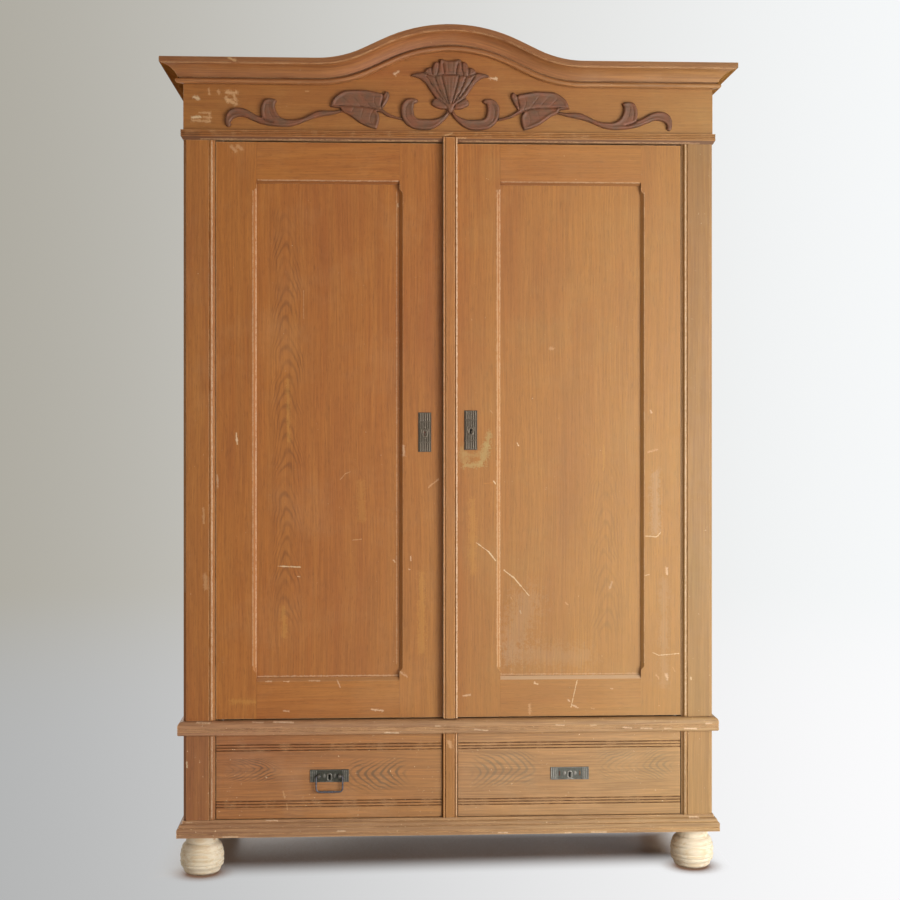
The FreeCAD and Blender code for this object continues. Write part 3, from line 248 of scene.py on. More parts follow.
def buildGlazeGroup():  # a combed brown glaze over ochre: streaks, short pores, broad clouds
    tree, takes, gives = newGroup("combedGlaze", {"Place": "Vector"},
                                  {"Streak": "Float", "Band": "Float", "Cloud": "Float",
                                   "Pore": "Float"})
    slow = add(tree, "VectorMath", [takes["Place"], (4, 4, 1.6)], operation="MULTIPLY")
    drift = add(tree, "TexNoise", {"Vector": slow, "Scale": 1, "Detail": 2})
    bent = add(tree, "VectorMath", [drift.outputs["Color"], (0.03, 0.03, 0), takes["Place"]],
               operation="MULTIPLY_ADD")
    layers = {
        "Streak": ((260, 260, 5.5), 3, 0.62, 0.36, 0.66),   # comb teeth 4 mm apart
        "Band": ((55, 55, 1.7), 2, 0.5, 0.35, 0.65),        # brush widths of 20 mm
        "Cloud": ((6, 6, 1.5), 3, 0.55, 0.32, 0.68),        # the glaze's thick and thin places
        "Pore": ((620, 620, 42), 2, 0.6, 0.56, 0.70),       # short dashes, 24 mm long
    }
    for label, (scale, detail, rough, low, high) in layers.items():
        spread = add(tree, "VectorMath", [bent, scale], operation="MULTIPLY")
        noise = add(tree, "TexNoise", {"Vector": spread, "Scale": 1, "Detail": detail,
                                       "Roughness": rough})
        tree.links.new(add(tree, "MapRange", [noise, low, high, 0, 1]).outputs[0], gives[label])
    return tree


# How a flame is drawn, in metres: its sway and tremble, and the length over which it dies away
drawn = {"sway": 0.022, "tremble": 0.011, "ends": 0.05}


def buildFlameGroup():  # nested pointed arches drawn in the glaze, down one column
    tree, takes, gives = newGroup(
        "flameFigure",
        {"Across": "Float", "Along": "Float", "Centre": "Float", "Low": "Float", "High": "Float",
         "Half Width": "Float", "Pitch": "Float", "Drop": "Float", "Power": "Float",
         "Way": "Float"},
        {"Line": "Float"})
    both = add(tree, "CombineXYZ", [takes["Across"], 0, takes["Along"]])
    sway = add(tree, "TexNoise", {"Vector": both, "Scale": grit["sway"], "Detail": 2})
    swayed = add(tree, "MapRange", [sway, 0, 1, -drawn["sway"], drawn["sway"]])
    side = add(tree, "Math", [takes["Across"], takes["Centre"]], operation="SUBTRACT")
    side = add(tree, "Math", [side, swayed], operation="ADD")
    side = add(tree, "Math", [add(tree, "Math", [side], operation="ABSOLUTE"), takes["Half Width"]],
               operation="DIVIDE")
    drop = add(tree, "Math", [side, takes["Power"]], operation="POWER")
    drop = add(tree, "Math", [drop, takes["Drop"]], operation="MULTIPLY")
    level = add(tree, "Math", [takes["Along"], takes["Way"]], operation="MULTIPLY")
    level = add(tree, "Math", [level, drop], operation="ADD")
    rough = add(tree, "TexNoise", {"Vector": both, "Scale": grit["tremble"], "Detail": 3,
                                   "Roughness": 0.6})
    level = add(tree, "Math", [rough, drawn["tremble"], level], operation="MULTIPLY_ADD")
    turns = add(tree, "Math", [level, takes["Pitch"]], operation="DIVIDE")
    turns = add(tree, "Math", [turns, math.tau], operation="MULTIPLY")
    wave = add(tree, "Math", [turns], operation="SINE")
    line = add(tree, "MapRange", [wave, -0.1, 0.95, 0, 1])
    inside = add(tree, "MapRange", [side, 1.15, 0.7, 0, 1], interpolation_type="SMOOTHSTEP")
    lowEnd = add(tree, "Math", [takes["Along"], takes["Low"]], operation="SUBTRACT")
    highEnd = add(tree, "Math", [takes["High"], takes["Along"]], operation="SUBTRACT")
    ends = add(tree, "Math", [lowEnd, highEnd], operation="MINIMUM")
    ends = add(tree, "MapRange", [ends, 0, drawn["ends"], 0, 1], interpolation_type="SMOOTHSTEP")
    patch = add(tree, "TexNoise", {"Vector": both, "Scale": grit["fade"], "Detail": 2})
    patch = add(tree, "MapRange", [patch, 0.38, 0.58, 0.25, 1])
    for factor in (inside, ends, patch):
        line = add(tree, "Math", [line, factor], operation="MULTIPLY")
    tree.links.new(line.outputs[0], gives["Line"])
    return tree


def buildMarkGroup():  # 1 on a mark from one point to another, such as a scratch, a chip, a painted highlight or shade; 0 away from it
    tree, takes, gives = newGroup(
        "markStroke", {"Place": "Vector", "From": "Vector", "To": "Vector", "Width": "Float",
                  "Uneven": "Float"}, {"Mask": "Float"})
    way = add(tree, "VectorMath", [takes["To"], takes["From"]], operation="SUBTRACT")
    out = add(tree, "VectorMath", [takes["Place"], takes["From"]], operation="SUBTRACT")
    over = add(tree, "VectorMath", [out, way], operation="DOT_PRODUCT")
    whole = add(tree, "VectorMath", [way, way], operation="DOT_PRODUCT")
    share = add(tree, "Math", [over, whole], operation="DIVIDE", use_clamp=True)
    foot = add(tree, "VectorMath", {"Vector": way, "Scale": share}, operation="SCALE")
    away = add(tree, "VectorMath", [out, foot], operation="DISTANCE")
    width = add(tree, "Math", [takes["Width"], takes["Uneven"]], operation="MULTIPLY")
    part = add(tree, "Math", [away, width], operation="DIVIDE")
    mask = add(tree, "MapRange", [part, 1, 0.1, 0, 1], interpolation_type="SMOOTHSTEP")
    tree.links.new(mask.outputs[0], gives["Mask"])
    return tree


pineFigure = buildPineGroup()
combedGlaze = buildGlazeGroup()
flameFigure = buildFlameGroup()
markStroke = buildMarkGroup()
print("grain groups ready")

# The colours of the graining, from the bare wood up
# Two of these colours carry painted light: the darkest brown also paints shade in corners, grooves,
# keyholes and under faces that look down, and the pale yellow paints the window's sheen
paint = {"ground": "#b16d29", "russet": "#9b5421", "streak": "#7e4515", "pale": "#bf803a",
         "pore": "#613311", "worn": "#cda070", "bare": "#e8cfa6", "shadeAndGrime": "#4a2815",
         "greyed": "#bda384", "paintedSheen": "#bfa868", "olive": "#b59c62", "ochre": "#c99243",
         "chalk": "#e2c3a0"}
carving = {"umber": "#6d4b33", "walnut": "#804c30", "cut": "#36211a", "rub": "#a27655"}
pine = {"board": "#c9a373", "ring": "#9a6b3d", "stain": "#8d6a48"}
archHalf = 0.32  # the crown's arch runs this far to each side


def turned(tree, along, rise=0):  # the place as across, depth and along the grain
    place = add(tree, "TexCoord").outputs["Object"]
    if along == "z":
        return place
    axes = add(tree, "SeparateXYZ", [place]).outputs
    height = axes["Z"]
    if rise:  # the streaks of the crown follow its arch
        out = add(tree, "Math", [axes["X"]], operation="ABSOLUTE")
        arch = add(tree, "MapRange", [out, archHalf, 0, 0, rise], interpolation_type="SMOOTHSTEP")
        height = add(tree, "Math", [height, arch], operation="SUBTRACT")
    front = add(tree, "CombineXYZ", [height, axes["Y"], axes["X"]])
    side = add(tree, "CombineXYZ", [height, axes["X"], axes["Y"]])
    normal = add(tree, "SeparateXYZ", [add(tree, "TexCoord").outputs["Normal"]]).outputs["X"]
    sideways = add(tree, "Math", [add(tree, "Math", [normal], operation="ABSOLUTE"), 0.7],
                   operation="GREATER_THAN")
    return add(tree, "Mix", [sideways, front, side], data_type="VECTOR")


def marked(tree, colour, marks):  # (x, z), (x, z), width on the front in mm, colour name, strength
    least = 0.1 * mm  # a spot still has some length
    place = add(tree, "TexCoord").outputs["Object"]
    flatPlace = add(tree, "VectorMath", [place, (1, 0, 1)], operation="MULTIPLY")
    fine = add(tree, "TexNoise", {"Vector": place, "Scale": grit["nick"], "Detail": 2})
    coarse = add(tree, "TexNoise", {"Vector": place, "Scale": grit["break"], "Detail": 3,
                                    "Roughness": 0.7})
    uneven = add(tree, "Math", [add(tree, "MapRange", [fine, 0.3, 0.7, 0.5, 1.4]),
                                add(tree, "MapRange", [coarse, 0.32, 0.62, 0.35, 1.4])],
                 operation="MULTIPLY")
    for start, end, width, shade, strength in marks:
        mask = add(tree, "Group", {"Place": flatPlace, "From": (start[0] * mm, 0, start[1] * mm),
                                   "To": (end[0] * mm + least, 0, end[1] * mm), "Width": width * mm,
                                   "Uneven": uneven}, node_tree=markStroke)
        mask = add(tree, "Math", [mask, strength], operation="MULTIPLY")
        colour = add(tree, "Mix", [mask, colour, tone(paint[shade])], data_type="RGBA")
    return colour


# The door rails' ends: their places across, the strip that counts as near them, and the middle and
# half of the height between the rails
joint = {"ends": (0.124, 0.4730), "near": 0.0034, "middle": 1.0940, "reach": 0.6035}


def awayFromJoints(tree, place):  # 0 close to where the door rails meet their stiles, 1 elsewhere
    spot = add(tree, "SeparateXYZ", [place]).outputs
    out = add(tree, "Math", [spot["X"]], operation="ABSOLUTE")
    gaps = [add(tree, "Math", [out, end], operation="SUBTRACT") for end in joint["ends"]]
    gaps = [add(tree, "Math", [gap], operation="ABSOLUTE") for gap in gaps]
    close = add(tree, "Math", [add(tree, "Math", gaps, operation="MINIMUM"), joint["near"]],
                operation="LESS_THAN")
    level = add(tree, "Math", [spot["Z"], joint["middle"]], operation="SUBTRACT")
    railed = add(tree, "Math", [add(tree, "Math", [level], operation="ABSOLUTE"), joint["reach"]],
                 operation="GREATER_THAN")
    return add(tree, "Math", [1, add(tree, "Math", [close, railed], operation="MULTIPLY")],
               operation="SUBTRACT")


def edgesOf(tree, radius, span):  # a rounded normal that leaves the real one marks an edge
    rounded = add(tree, "Bevel", {"Radius": radius * mm}, samples=4)
    same = add(tree, "VectorMath", [rounded, add(tree, "NewGeometry").outputs["Normal"]],
               operation="DOT_PRODUCT")
    return add(tree, "MapRange", [same, *span, 0, 1])


def cornerShadeAndDirt(tree, colour, shade, reach, span, most, samples=6):  # painted shade and dirt where faces meet: ambient occlusion darkens the colour
    clear = add(tree, "AmbientOcclusion", {"Distance": reach * mm}, samples=samples).outputs["AO"]
    share = add(tree, "MapRange", [clear, *span, 0, most])
    return add(tree, "Mix", [share, colour, tone(shade)], data_type="RGBA")


inside = (0, 1, 0)
paintedWindowLight = {"lean": -0.35, "span": (-0.60, 0.60), "most": 0.38}  # painted window light: paler and yellower toward the window's side and lower down
# Rubbed edges, and the painted shade with dirt in corners, reach this far in mm; the rest are
# shares of the paint gone
age = {"edge": 2.6, "corner": 9, "rubbed": 0.85, "chipped": 0.75, "chipSpan": 0.025, "haze": 0.14}


# Grained paint: oil glaze combed over an ochre ground on pine, then a century of wear. The eye gets
# long brown streaks, drawn flames, pale lines where edges have rubbed through, and a soft sheen
# Its colour also holds painted light: shade with dirt in corners and grooves, shade under faces
# that look down, and paler colour toward the window
def grainedPaint(name, along="z", rise=0, raw=(inside,), tint=paint["ground"], flames=(), marks=(),
                 streak=0.44, figure=0.5, grain=0.0, gloss=0.5, film="worn", pale=0.0, wear=1.0,
                 rubAt=(0.46, 0.60), chipAt=0.715, butted=False, shadeAndGrime=0.45, darkByDepth=None, under=0.0,
                 paleDustAndLight=0.0):
    made = newMaterial(name)
    tree = made.node_tree
    place = add(tree, "TexCoord").outputs["Object"]
    laid = turned(tree, along, rise)
    glaze = add(tree, "Group", {"Place": laid}, node_tree=combedGlaze).outputs
    coats = {"Cloud": ("russet", 0.72), "Band": ("pale", 0.26), "Streak": ("streak", streak),
             "Pore": ("pore", 0.40)}  # in the order they were brushed on, with colour and strength
    layers = [(add(tree, "Math", [glaze[coat], share], operation="MULTIPLY"), shade)
              for coat, (shade, share) in coats.items()]
    axes = add(tree, "SeparateXYZ", [laid]).outputs
    for flame in flames:
        line = add(tree, "Group", {"Across": axes["X"], "Along": axes["Z"], **flame},
                   node_tree=flameFigure)
        layers.append((add(tree, "Math", [line, figure], operation="MULTIPLY"), "pore"))
    colour = tone(tint)
    for mask, shade in layers:
        colour = add(tree, "Mix", [mask, colour, tone(paint[shade])], data_type="RGBA")

    # rubbed edges, specks where the paint is chipped, and a thin worn film over all
    edge = edgesOf(tree, age["edge"], (0.995, 0.86))
    scuff = add(tree, "TexNoise", {"Vector": place, "Scale": grit["scuff"], "Detail": 5,
                                   "Roughness": 0.7})
    rubbed = add(tree, "MapRange", [scuff, *rubAt, 0, min(1, age["rubbed"] * wear)])
    rubbed = add(tree, "Math", [rubbed, edge], operation="MULTIPLY")
    if butted:  # a rail's end lies flush against its stile, so nothing rubs there
        rubbed = add(tree, "Math", [rubbed, awayFromJoints(tree, place)], operation="MULTIPLY")
    speck = add(tree, "TexNoise", {"Vector": place, "Scale": grit["chip"], "Detail": 4,
                                   "Roughness": 0.75})
    speck = add(tree, "MapRange", [speck, chipAt, chipAt + age["chipSpan"], 0,
                                   age["chipped"] * wear])
    haze = add(tree, "TexNoise", {"Vector": place, "Scale": grit["haze"], "Detail": 6,
                                  "Roughness": 0.68})
    haze = add(tree, "MapRange", [haze, 0.5, 0.75, pale, age["haze"] + pale])
    colour = add(tree, "Mix", [haze, colour, tone(paint[film])], data_type="RGBA")
    spot = add(tree, "SeparateXYZ", [place]).outputs
    # painted sheen of the window light, growing toward the window's side and lower down
    toWindow = add(tree, "Math", [spot["Z"], paintedWindowLight["lean"], spot["X"]], operation="MULTIPLY_ADD")
    paintedSheen = add(tree, "MapRange", [toWindow, *paintedWindowLight["span"], 0, paintedWindowLight["most"]])
    colour = add(tree, "Mix", [paintedSheen, colour, tone(paint["paintedSheen"])], data_type="RGBA")
    if grain:  # where the glaze has weathered the dark lines of the wood itself show through
        lines = add(tree, "Math", [glaze["Streak"], grain], operation="MULTIPLY")
        colour = add(tree, "Mix", [lines, colour, tone(paint["pore"])], data_type="RGBA")
    if darkByDepth:  # darker by depth: painted shade and dirt in the grooves of the reeds and the head moulding, and on the crown a darker band that stands furthest out; two depths in mm, its colour and strength
        groove = add(tree, "MapRange", [spot["Y"], darkByDepth[0] * mm, darkByDepth[1] * mm, 0, darkByDepth[3]])
        colour = add(tree, "Mix", [groove, colour, tone(paint[darkByDepth[2]])], data_type="RGBA")
    # faces that look down are painted darker as painted shade, and faces that look up paler as dust
    # and painted light
    for share, span, shade in ((under, (-0.35, -0.6), "shadeAndGrime"), (paleDustAndLight, (0.3, 0.55), "chalk")):
        if share:
            tilt = add(tree, "SeparateXYZ", [add(tree, "TexCoord").outputs["Normal"]]).outputs["Z"]
            tilt = add(tree, "MapRange", [tilt, *span, 0, share])
            colour = add(tree, "Mix", [tilt, colour, tone(paint[shade])], data_type="RGBA")
    colour = add(tree, "Mix", [rubbed, colour, tone(paint["worn"])], data_type="RGBA")
    colour = add(tree, "Mix", [speck, colour, tone(paint["bare"])], data_type="RGBA")
    colour = marked(tree, colour, marks)
    # painted shade and dirt where faces meet
    colour = cornerShadeAndDirt(tree, colour, paint["shadeAndGrime"], age["corner"], (0.62, 0.2), shadeAndGrime)
    rough = add(tree, "MapRange", [scuff, 0.3, 0.7, 0.44, 0.62])
    height = add(tree, "Math", [glaze["Streak"], -0.35], operation="MULTIPLY")
    height = add(tree, "Math", [scuff, 0.6, height], operation="MULTIPLY_ADD")
    height = add(tree, "Math", [rubbed, -0.4, height], operation="MULTIPLY_ADD")

    # the faces that nobody painted
    wood = add(tree, "Group", {"Place": laid}, node_tree=pineFigure).outputs
    timber = add(tree, "Mix", [wood["Lines"], tone(pine["board"]), tone(pine["ring"])],
                 data_type="RGBA")
    soot = add(tree, "Math", [wood["Stain"], 0.45], operation="MULTIPLY")
    timber = add(tree, "Mix", [soot, timber, tone(pine["stain"])], data_type="RGBA")
    facing = add(tree, "TexCoord").outputs["Normal"]
    bare = None
    for way in raw:
        if way == "inward":  # a side's face toward the middle of the wardrobe
            turn = add(tree, "SeparateXYZ", [facing]).outputs["X"]
            half = add(tree, "Math", [spot["X"]], operation="SIGN")
            toward = add(tree, "Math", [add(tree, "Math", [turn, half], operation="MULTIPLY"), -1],
                         operation="MULTIPLY")
        else:
            toward = add(tree, "VectorMath", [facing, way], operation="DOT_PRODUCT")
        toward = add(tree, "Math", [toward, 0.75], operation="GREATER_THAN")
        bare = toward if bare is None else add(tree, "Math", [bare, toward], operation="MAXIMUM")
    colour = add(tree, "Mix", [bare, colour, timber], data_type="RGBA")
    bump = add(tree, "Bump", {"Strength": 0.5, "Distance": 0.5 * mm, "Height": height})
    shell = add(tree, "BsdfPrincipled", {"Base Color": colour, "Roughness": rough, "Normal": bump,
                                         "IOR": 1.5, "Specular IOR Level": gloss})
    add(tree, "OutputMaterial", [shell])
    return made


# Aged bare pine, planed and never finished: the inside, the back and the drawer boxes. It gives
# matt tan boards with brown late wood lines, dirt in stains, and painted shade with dirt in corners
def agedPine(name, along="z", board=pine["board"], ring=pine["ring"], sooty=0.5, marks=(),
             boards=0):  # boards: the width of one in mm, where several lie side by side
    made = newMaterial(name)
    tree = made.node_tree
    laid = turned(tree, along)
    if boards:  # the grain starts anew on every board
        run = add(tree, "SeparateXYZ", [laid]).outputs["X"]
        run = add(tree, "Math", [run, boards * mm], operation="DIVIDE")
        order = add(tree, "Math", [run], operation="FLOOR")
        shift = add(tree, "Math", [order, 0.7], operation="MULTIPLY")
        shift = add(tree, "CombineXYZ", [0, order, shift])
        laid = add(tree, "VectorMath", [laid, shift], operation="ADD")
    wood = add(tree, "Group", {"Place": laid}, node_tree=pineFigure).outputs
    colour = add(tree, "Mix", [wood["Lines"], tone(board), tone(ring)], data_type="RGBA")
    if boards:
        own = add(tree, "TexWhiteNoise", {"W": order}, noise_dimensions="1D").outputs["Value"]
        own = add(tree, "Math", [own, 0.4], operation="MULTIPLY")
        colour = add(tree, "Mix", [own, colour, tone(pine["stain"])], data_type="RGBA")
        part = add(tree, "Math", [run], operation="FRACT")
        part = add(tree, "Math", [part, 0.5], operation="SUBTRACT")
        part = add(tree, "Math", [part], operation="ABSOLUTE")
        seam = add(tree, "MapRange", [part, 0.489, 0.495, 0, 0.85])
    soot = add(tree, "Math", [wood["Stain"], sooty], operation="MULTIPLY")
    colour = add(tree, "Mix", [soot, colour, tone(pine["stain"])], data_type="RGBA")
    if boards:
        colour = add(tree, "Mix", [seam, colour, tone(paint["shadeAndGrime"])], data_type="RGBA")
    colour = marked(tree, colour, marks)
    # painted shade and dirt where faces meet
    colour = cornerShadeAndDirt(tree, colour, paint["shadeAndGrime"], 15, (0.8, 0.3), 0.5)
    bump = add(tree, "Bump", {"Strength": 0.4, "Distance": 0.4 * mm, "Height": wood["Lines"]})
    shell = add(tree, "BsdfPrincipled", {"Base Color": colour, "Roughness": 0.68, "Normal": bump})
    add(tree, "OutputMaterial", [shell])
    return made


# Carving stained walnut brown under an old wax: dull, redder on its high places, and near black in
# the cuts, where painted shade and dirt darken it
def stainedCarving(name):
    made = newMaterial(name)
    tree = made.node_tree
    place = add(tree, "TexCoord").outputs["Object"]
    blot = add(tree, "TexNoise", {"Vector": place, "Scale": grit["blotch"], "Detail": 5,
                                  "Roughness": 0.6})
    red = add(tree, "MapRange", [blot, 0.38, 0.62, 0, 1])
    colour = add(tree, "Mix", [red, tone(carving["umber"]), tone(carving["walnut"])],
                 data_type="RGBA")
    stretch = add(tree, "VectorMath", [place, grit["fibre"]], operation="MULTIPLY")
    fibre = add(tree, "TexNoise", {"Vector": stretch, "Scale": 1, "Detail": 3, "Roughness": 0.6})
    dark = add(tree, "MapRange", [fibre, 0.5, 0.72, 0, 0.5])
    colour = add(tree, "Mix", [dark, colour, tone(carving["cut"])], data_type="RGBA")
    edge = edgesOf(tree, 2.2, (0.99, 0.86))
    scuff = add(tree, "TexNoise", {"Vector": place, "Scale": grit["polish"], "Detail": 4,
                                   "Roughness": 0.7})
    rubbed = add(tree, "MapRange", [scuff, 0.55, 0.68, 0, 0.6])
    rubbed = add(tree, "Math", [rubbed, edge], operation="MULTIPLY")
    colour = add(tree, "Mix", [rubbed, colour, tone(carving["rub"])], data_type="RGBA")
    # painted shade and dirt in the cuts
    colour = cornerShadeAndDirt(tree, colour, carving["cut"], 7, (0.9, 0.35), 0.8, samples=8)
    bump = add(tree, "Bump", {"Strength": 0.4, "Distance": 0.4 * mm, "Height": fibre})
    shell = add(tree, "BsdfPrincipled", {"Base Color": colour, "Roughness": 0.56, "Normal": bump})
    add(tree, "OutputMaterial", [shell])
    return made


# Cast brass gone dark brown: the low places hold black wax and a little green, the high ones are
# rubbed
def patinatedBrass(name, back, low, high, green, rub=0.8):  # back: the plate's back plane, in mm
    made = newMaterial(name)
    tree = made.node_tree
    place = add(tree, "TexCoord").outputs["Object"]
    depth = add(tree, "SeparateXYZ", [place]).outputs["Y"]
    blot = add(tree, "TexNoise", {"Vector": place, "Scale": grit["sand"], "Detail": 4,
                                  "Roughness": 0.65})
    mixed = add(tree, "MapRange", [blot, 0.35, 0.65, 0, 1])
    dull = add(tree, "Mix", [mixed, tone(low), tone(green)], data_type="RGBA")
    raised = add(tree, "MapRange", [depth, (back - 1.2) * mm, (back - 2.4) * mm, 0, 1])
    worn = add(tree, "MapRange", [blot, 0.3, 0.6, 0.35 * rub, rub])
    raised = add(tree, "Math", [raised, worn], operation="MULTIPLY")
    colour = add(tree, "Mix", [raised, dull, tone(high)], data_type="RGBA")
    rough = add(tree, "MapRange", [raised, 0, 1, 0.62, 0.36])
    bump = add(tree, "Bump", {"Strength": 0.3, "Distance": 0.15 * mm, "Height": blot})
    shell = add(tree, "BsdfPrincipled", {"Base Color": colour, "Roughness": rough, "Normal": bump,
                                         "Metallic": 0.6})
    add(tree, "OutputMaterial", [shell])
    return made


# Wrought iron gone dark, with patches of brown rust: a dull grey with soft, broken highlights
def darkIron(name, steel="#5c5852", rust="#4a3426", roughness=0.48, metallic=0.85):
    made = newMaterial(name)
    tree = made.node_tree
    place = add(tree, "TexCoord").outputs["Object"]
    blot = add(tree, "TexNoise", {"Vector": place, "Scale": grit["scale"], "Detail": 5,
                                  "Roughness": 0.65})
    mask = add(tree, "MapRange", [blot, 0.42, 0.66, 0, 0.8])
    colour = add(tree, "Mix", [mask, tone(steel), tone(rust)], data_type="RGBA")
    rough = add(tree, "MapRange", [blot, 0.3, 0.7, roughness, roughness + 0.2])
    bump = add(tree, "Bump", {"Strength": 0.35, "Distance": 0.2 * mm, "Height": blot})
    shell = add(tree, "BsdfPrincipled", {"Base Color": colour, "Roughness": rough, "Normal": bump,
                                         "Metallic": metallic})
    add(tree, "OutputMaterial", [shell])
    return made


# How the CAD pieces are eased: bevel widths in mm, and angles in degrees
easing = {"timber": 0.8, "frame": 0.5, "metal": 0.3, "from": 35, "flat": 0.15, "crease": 28,
          "weld": 0.02}


def softEdges():  # smooth shading that stops at every crease
    tree = bpy.data.node_groups.new("softEdges", "GeometryNodeTree")
    tree.interface.new_socket("Geometry", in_out="INPUT", socket_type="NodeSocketGeometry")
    tree.interface.new_socket("Geometry", in_out="OUTPUT", socket_type="NodeSocketGeometry")
    start = tree.nodes.new("NodeGroupInput")
    smooth = tree.nodes.new("GeometryNodeSetShadeSmooth")
    smooth.domain = "FACE"
    sharp = tree.nodes.new("GeometryNodeSetShadeSmooth")
    sharp.domain = "EDGE"
    sharp.inputs["Shade Smooth"].default_value = False
    angle = tree.nodes.new("GeometryNodeInputMeshEdgeAngle")
    over = tree.nodes.new("FunctionNodeCompare")
    over.operation = "GREATER_THAN"
    over.inputs[1].default_value = math.radians(easing["crease"])
    end = tree.nodes.new("NodeGroupOutput")
    tree.links.new(start.outputs[0], smooth.inputs["Geometry"])
    tree.links.new(smooth.outputs[0], sharp.inputs["Geometry"])
    tree.links.new(angle.outputs["Unsigned Angle"], over.inputs[0])
    tree.links.new(over.outputs[0], sharp.inputs["Selection"])
    tree.links.new(sharp.outputs[0], end.inputs[0])
    return tree


edgeRule = softEdges()
mitred = ("base_moulding", "waist_moulding", "under_frieze_moulding", "side_frame_left",
          "side_frame_right", "base_frame", "crown_box", "left_drawer_box", "right_drawer_box")


def dress(name, material, edge="timber"):  # a CAD piece gets its finish, and eased edges unless it is mitred
    piece = nodes[name]
    piece.data.materials.clear()
    piece.data.materials.append(material)
    if name in mitred:
        return
    weld = piece.modifiers.new("weld", "WELD")
    weld.merge_threshold = easing["weld"] * mm
    flat = piece.modifiers.new("flat", "DECIMATE")
    flat.decimate_type = "DISSOLVE"
    flat.angle_limit = math.radians(easing["flat"])
    ease = piece.modifiers.new("ease", "BEVEL")
    ease.width = easing[edge] * mm
    ease.segments = 2
    ease.limit_method = "ANGLE"
    ease.angle_limit = math.radians(easing["from"])
    shade = piece.modifiers.new("shade", "NODES")
    shade.node_group = edgeRule
    even = piece.modifiers.new("even", "WEIGHTED_NORMAL")
    even.keep_sharp = True


# Where the drawn figures lie, in metres: their centre, ends and half width, and the pitch and drop
# of their arches
leftFlames = [{"Centre": -0.400, "Low": 0.56, "High": 1.66, "Half Width": 0.038, "Pitch": 0.036,
               "Drop": 0.140, "Power": 1.8, "Way": 1}]
rightFlames = [{"Centre": 0.386, "Low": 0.57, "High": 1.03, "Half Width": 0.042, "Pitch": 0.036,
                "Drop": 0.150, "Power": 1.8, "Way": 1}]
leftFigures = [
    {"Centre": 0.250, "Low": -0.27, "High": -0.09, "Half Width": 0.040, "Pitch": 0.019,
     "Drop": 0.062, "Power": 1.5, "Way": -1},
    {"Centre": 0.262, "Low": -0.56, "High": -0.40, "Half Width": 0.030, "Pitch": 0.017,
     "Drop": 0.070, "Power": 1.5, "Way": 1},
]
rightFigures = [
    {"Centre": 0.258, "Low": 0.04, "High": 0.23, "Half Width": 0.042, "Pitch": 0.019,
     "Drop": 0.060, "Power": 1.6, "Way": 1},
    {"Centre": 0.266, "Low": 0.35, "High": 0.57, "Half Width": 0.040, "Pitch": 0.017,
     "Drop": 0.075, "Power": 1.5, "Way": -1},
]
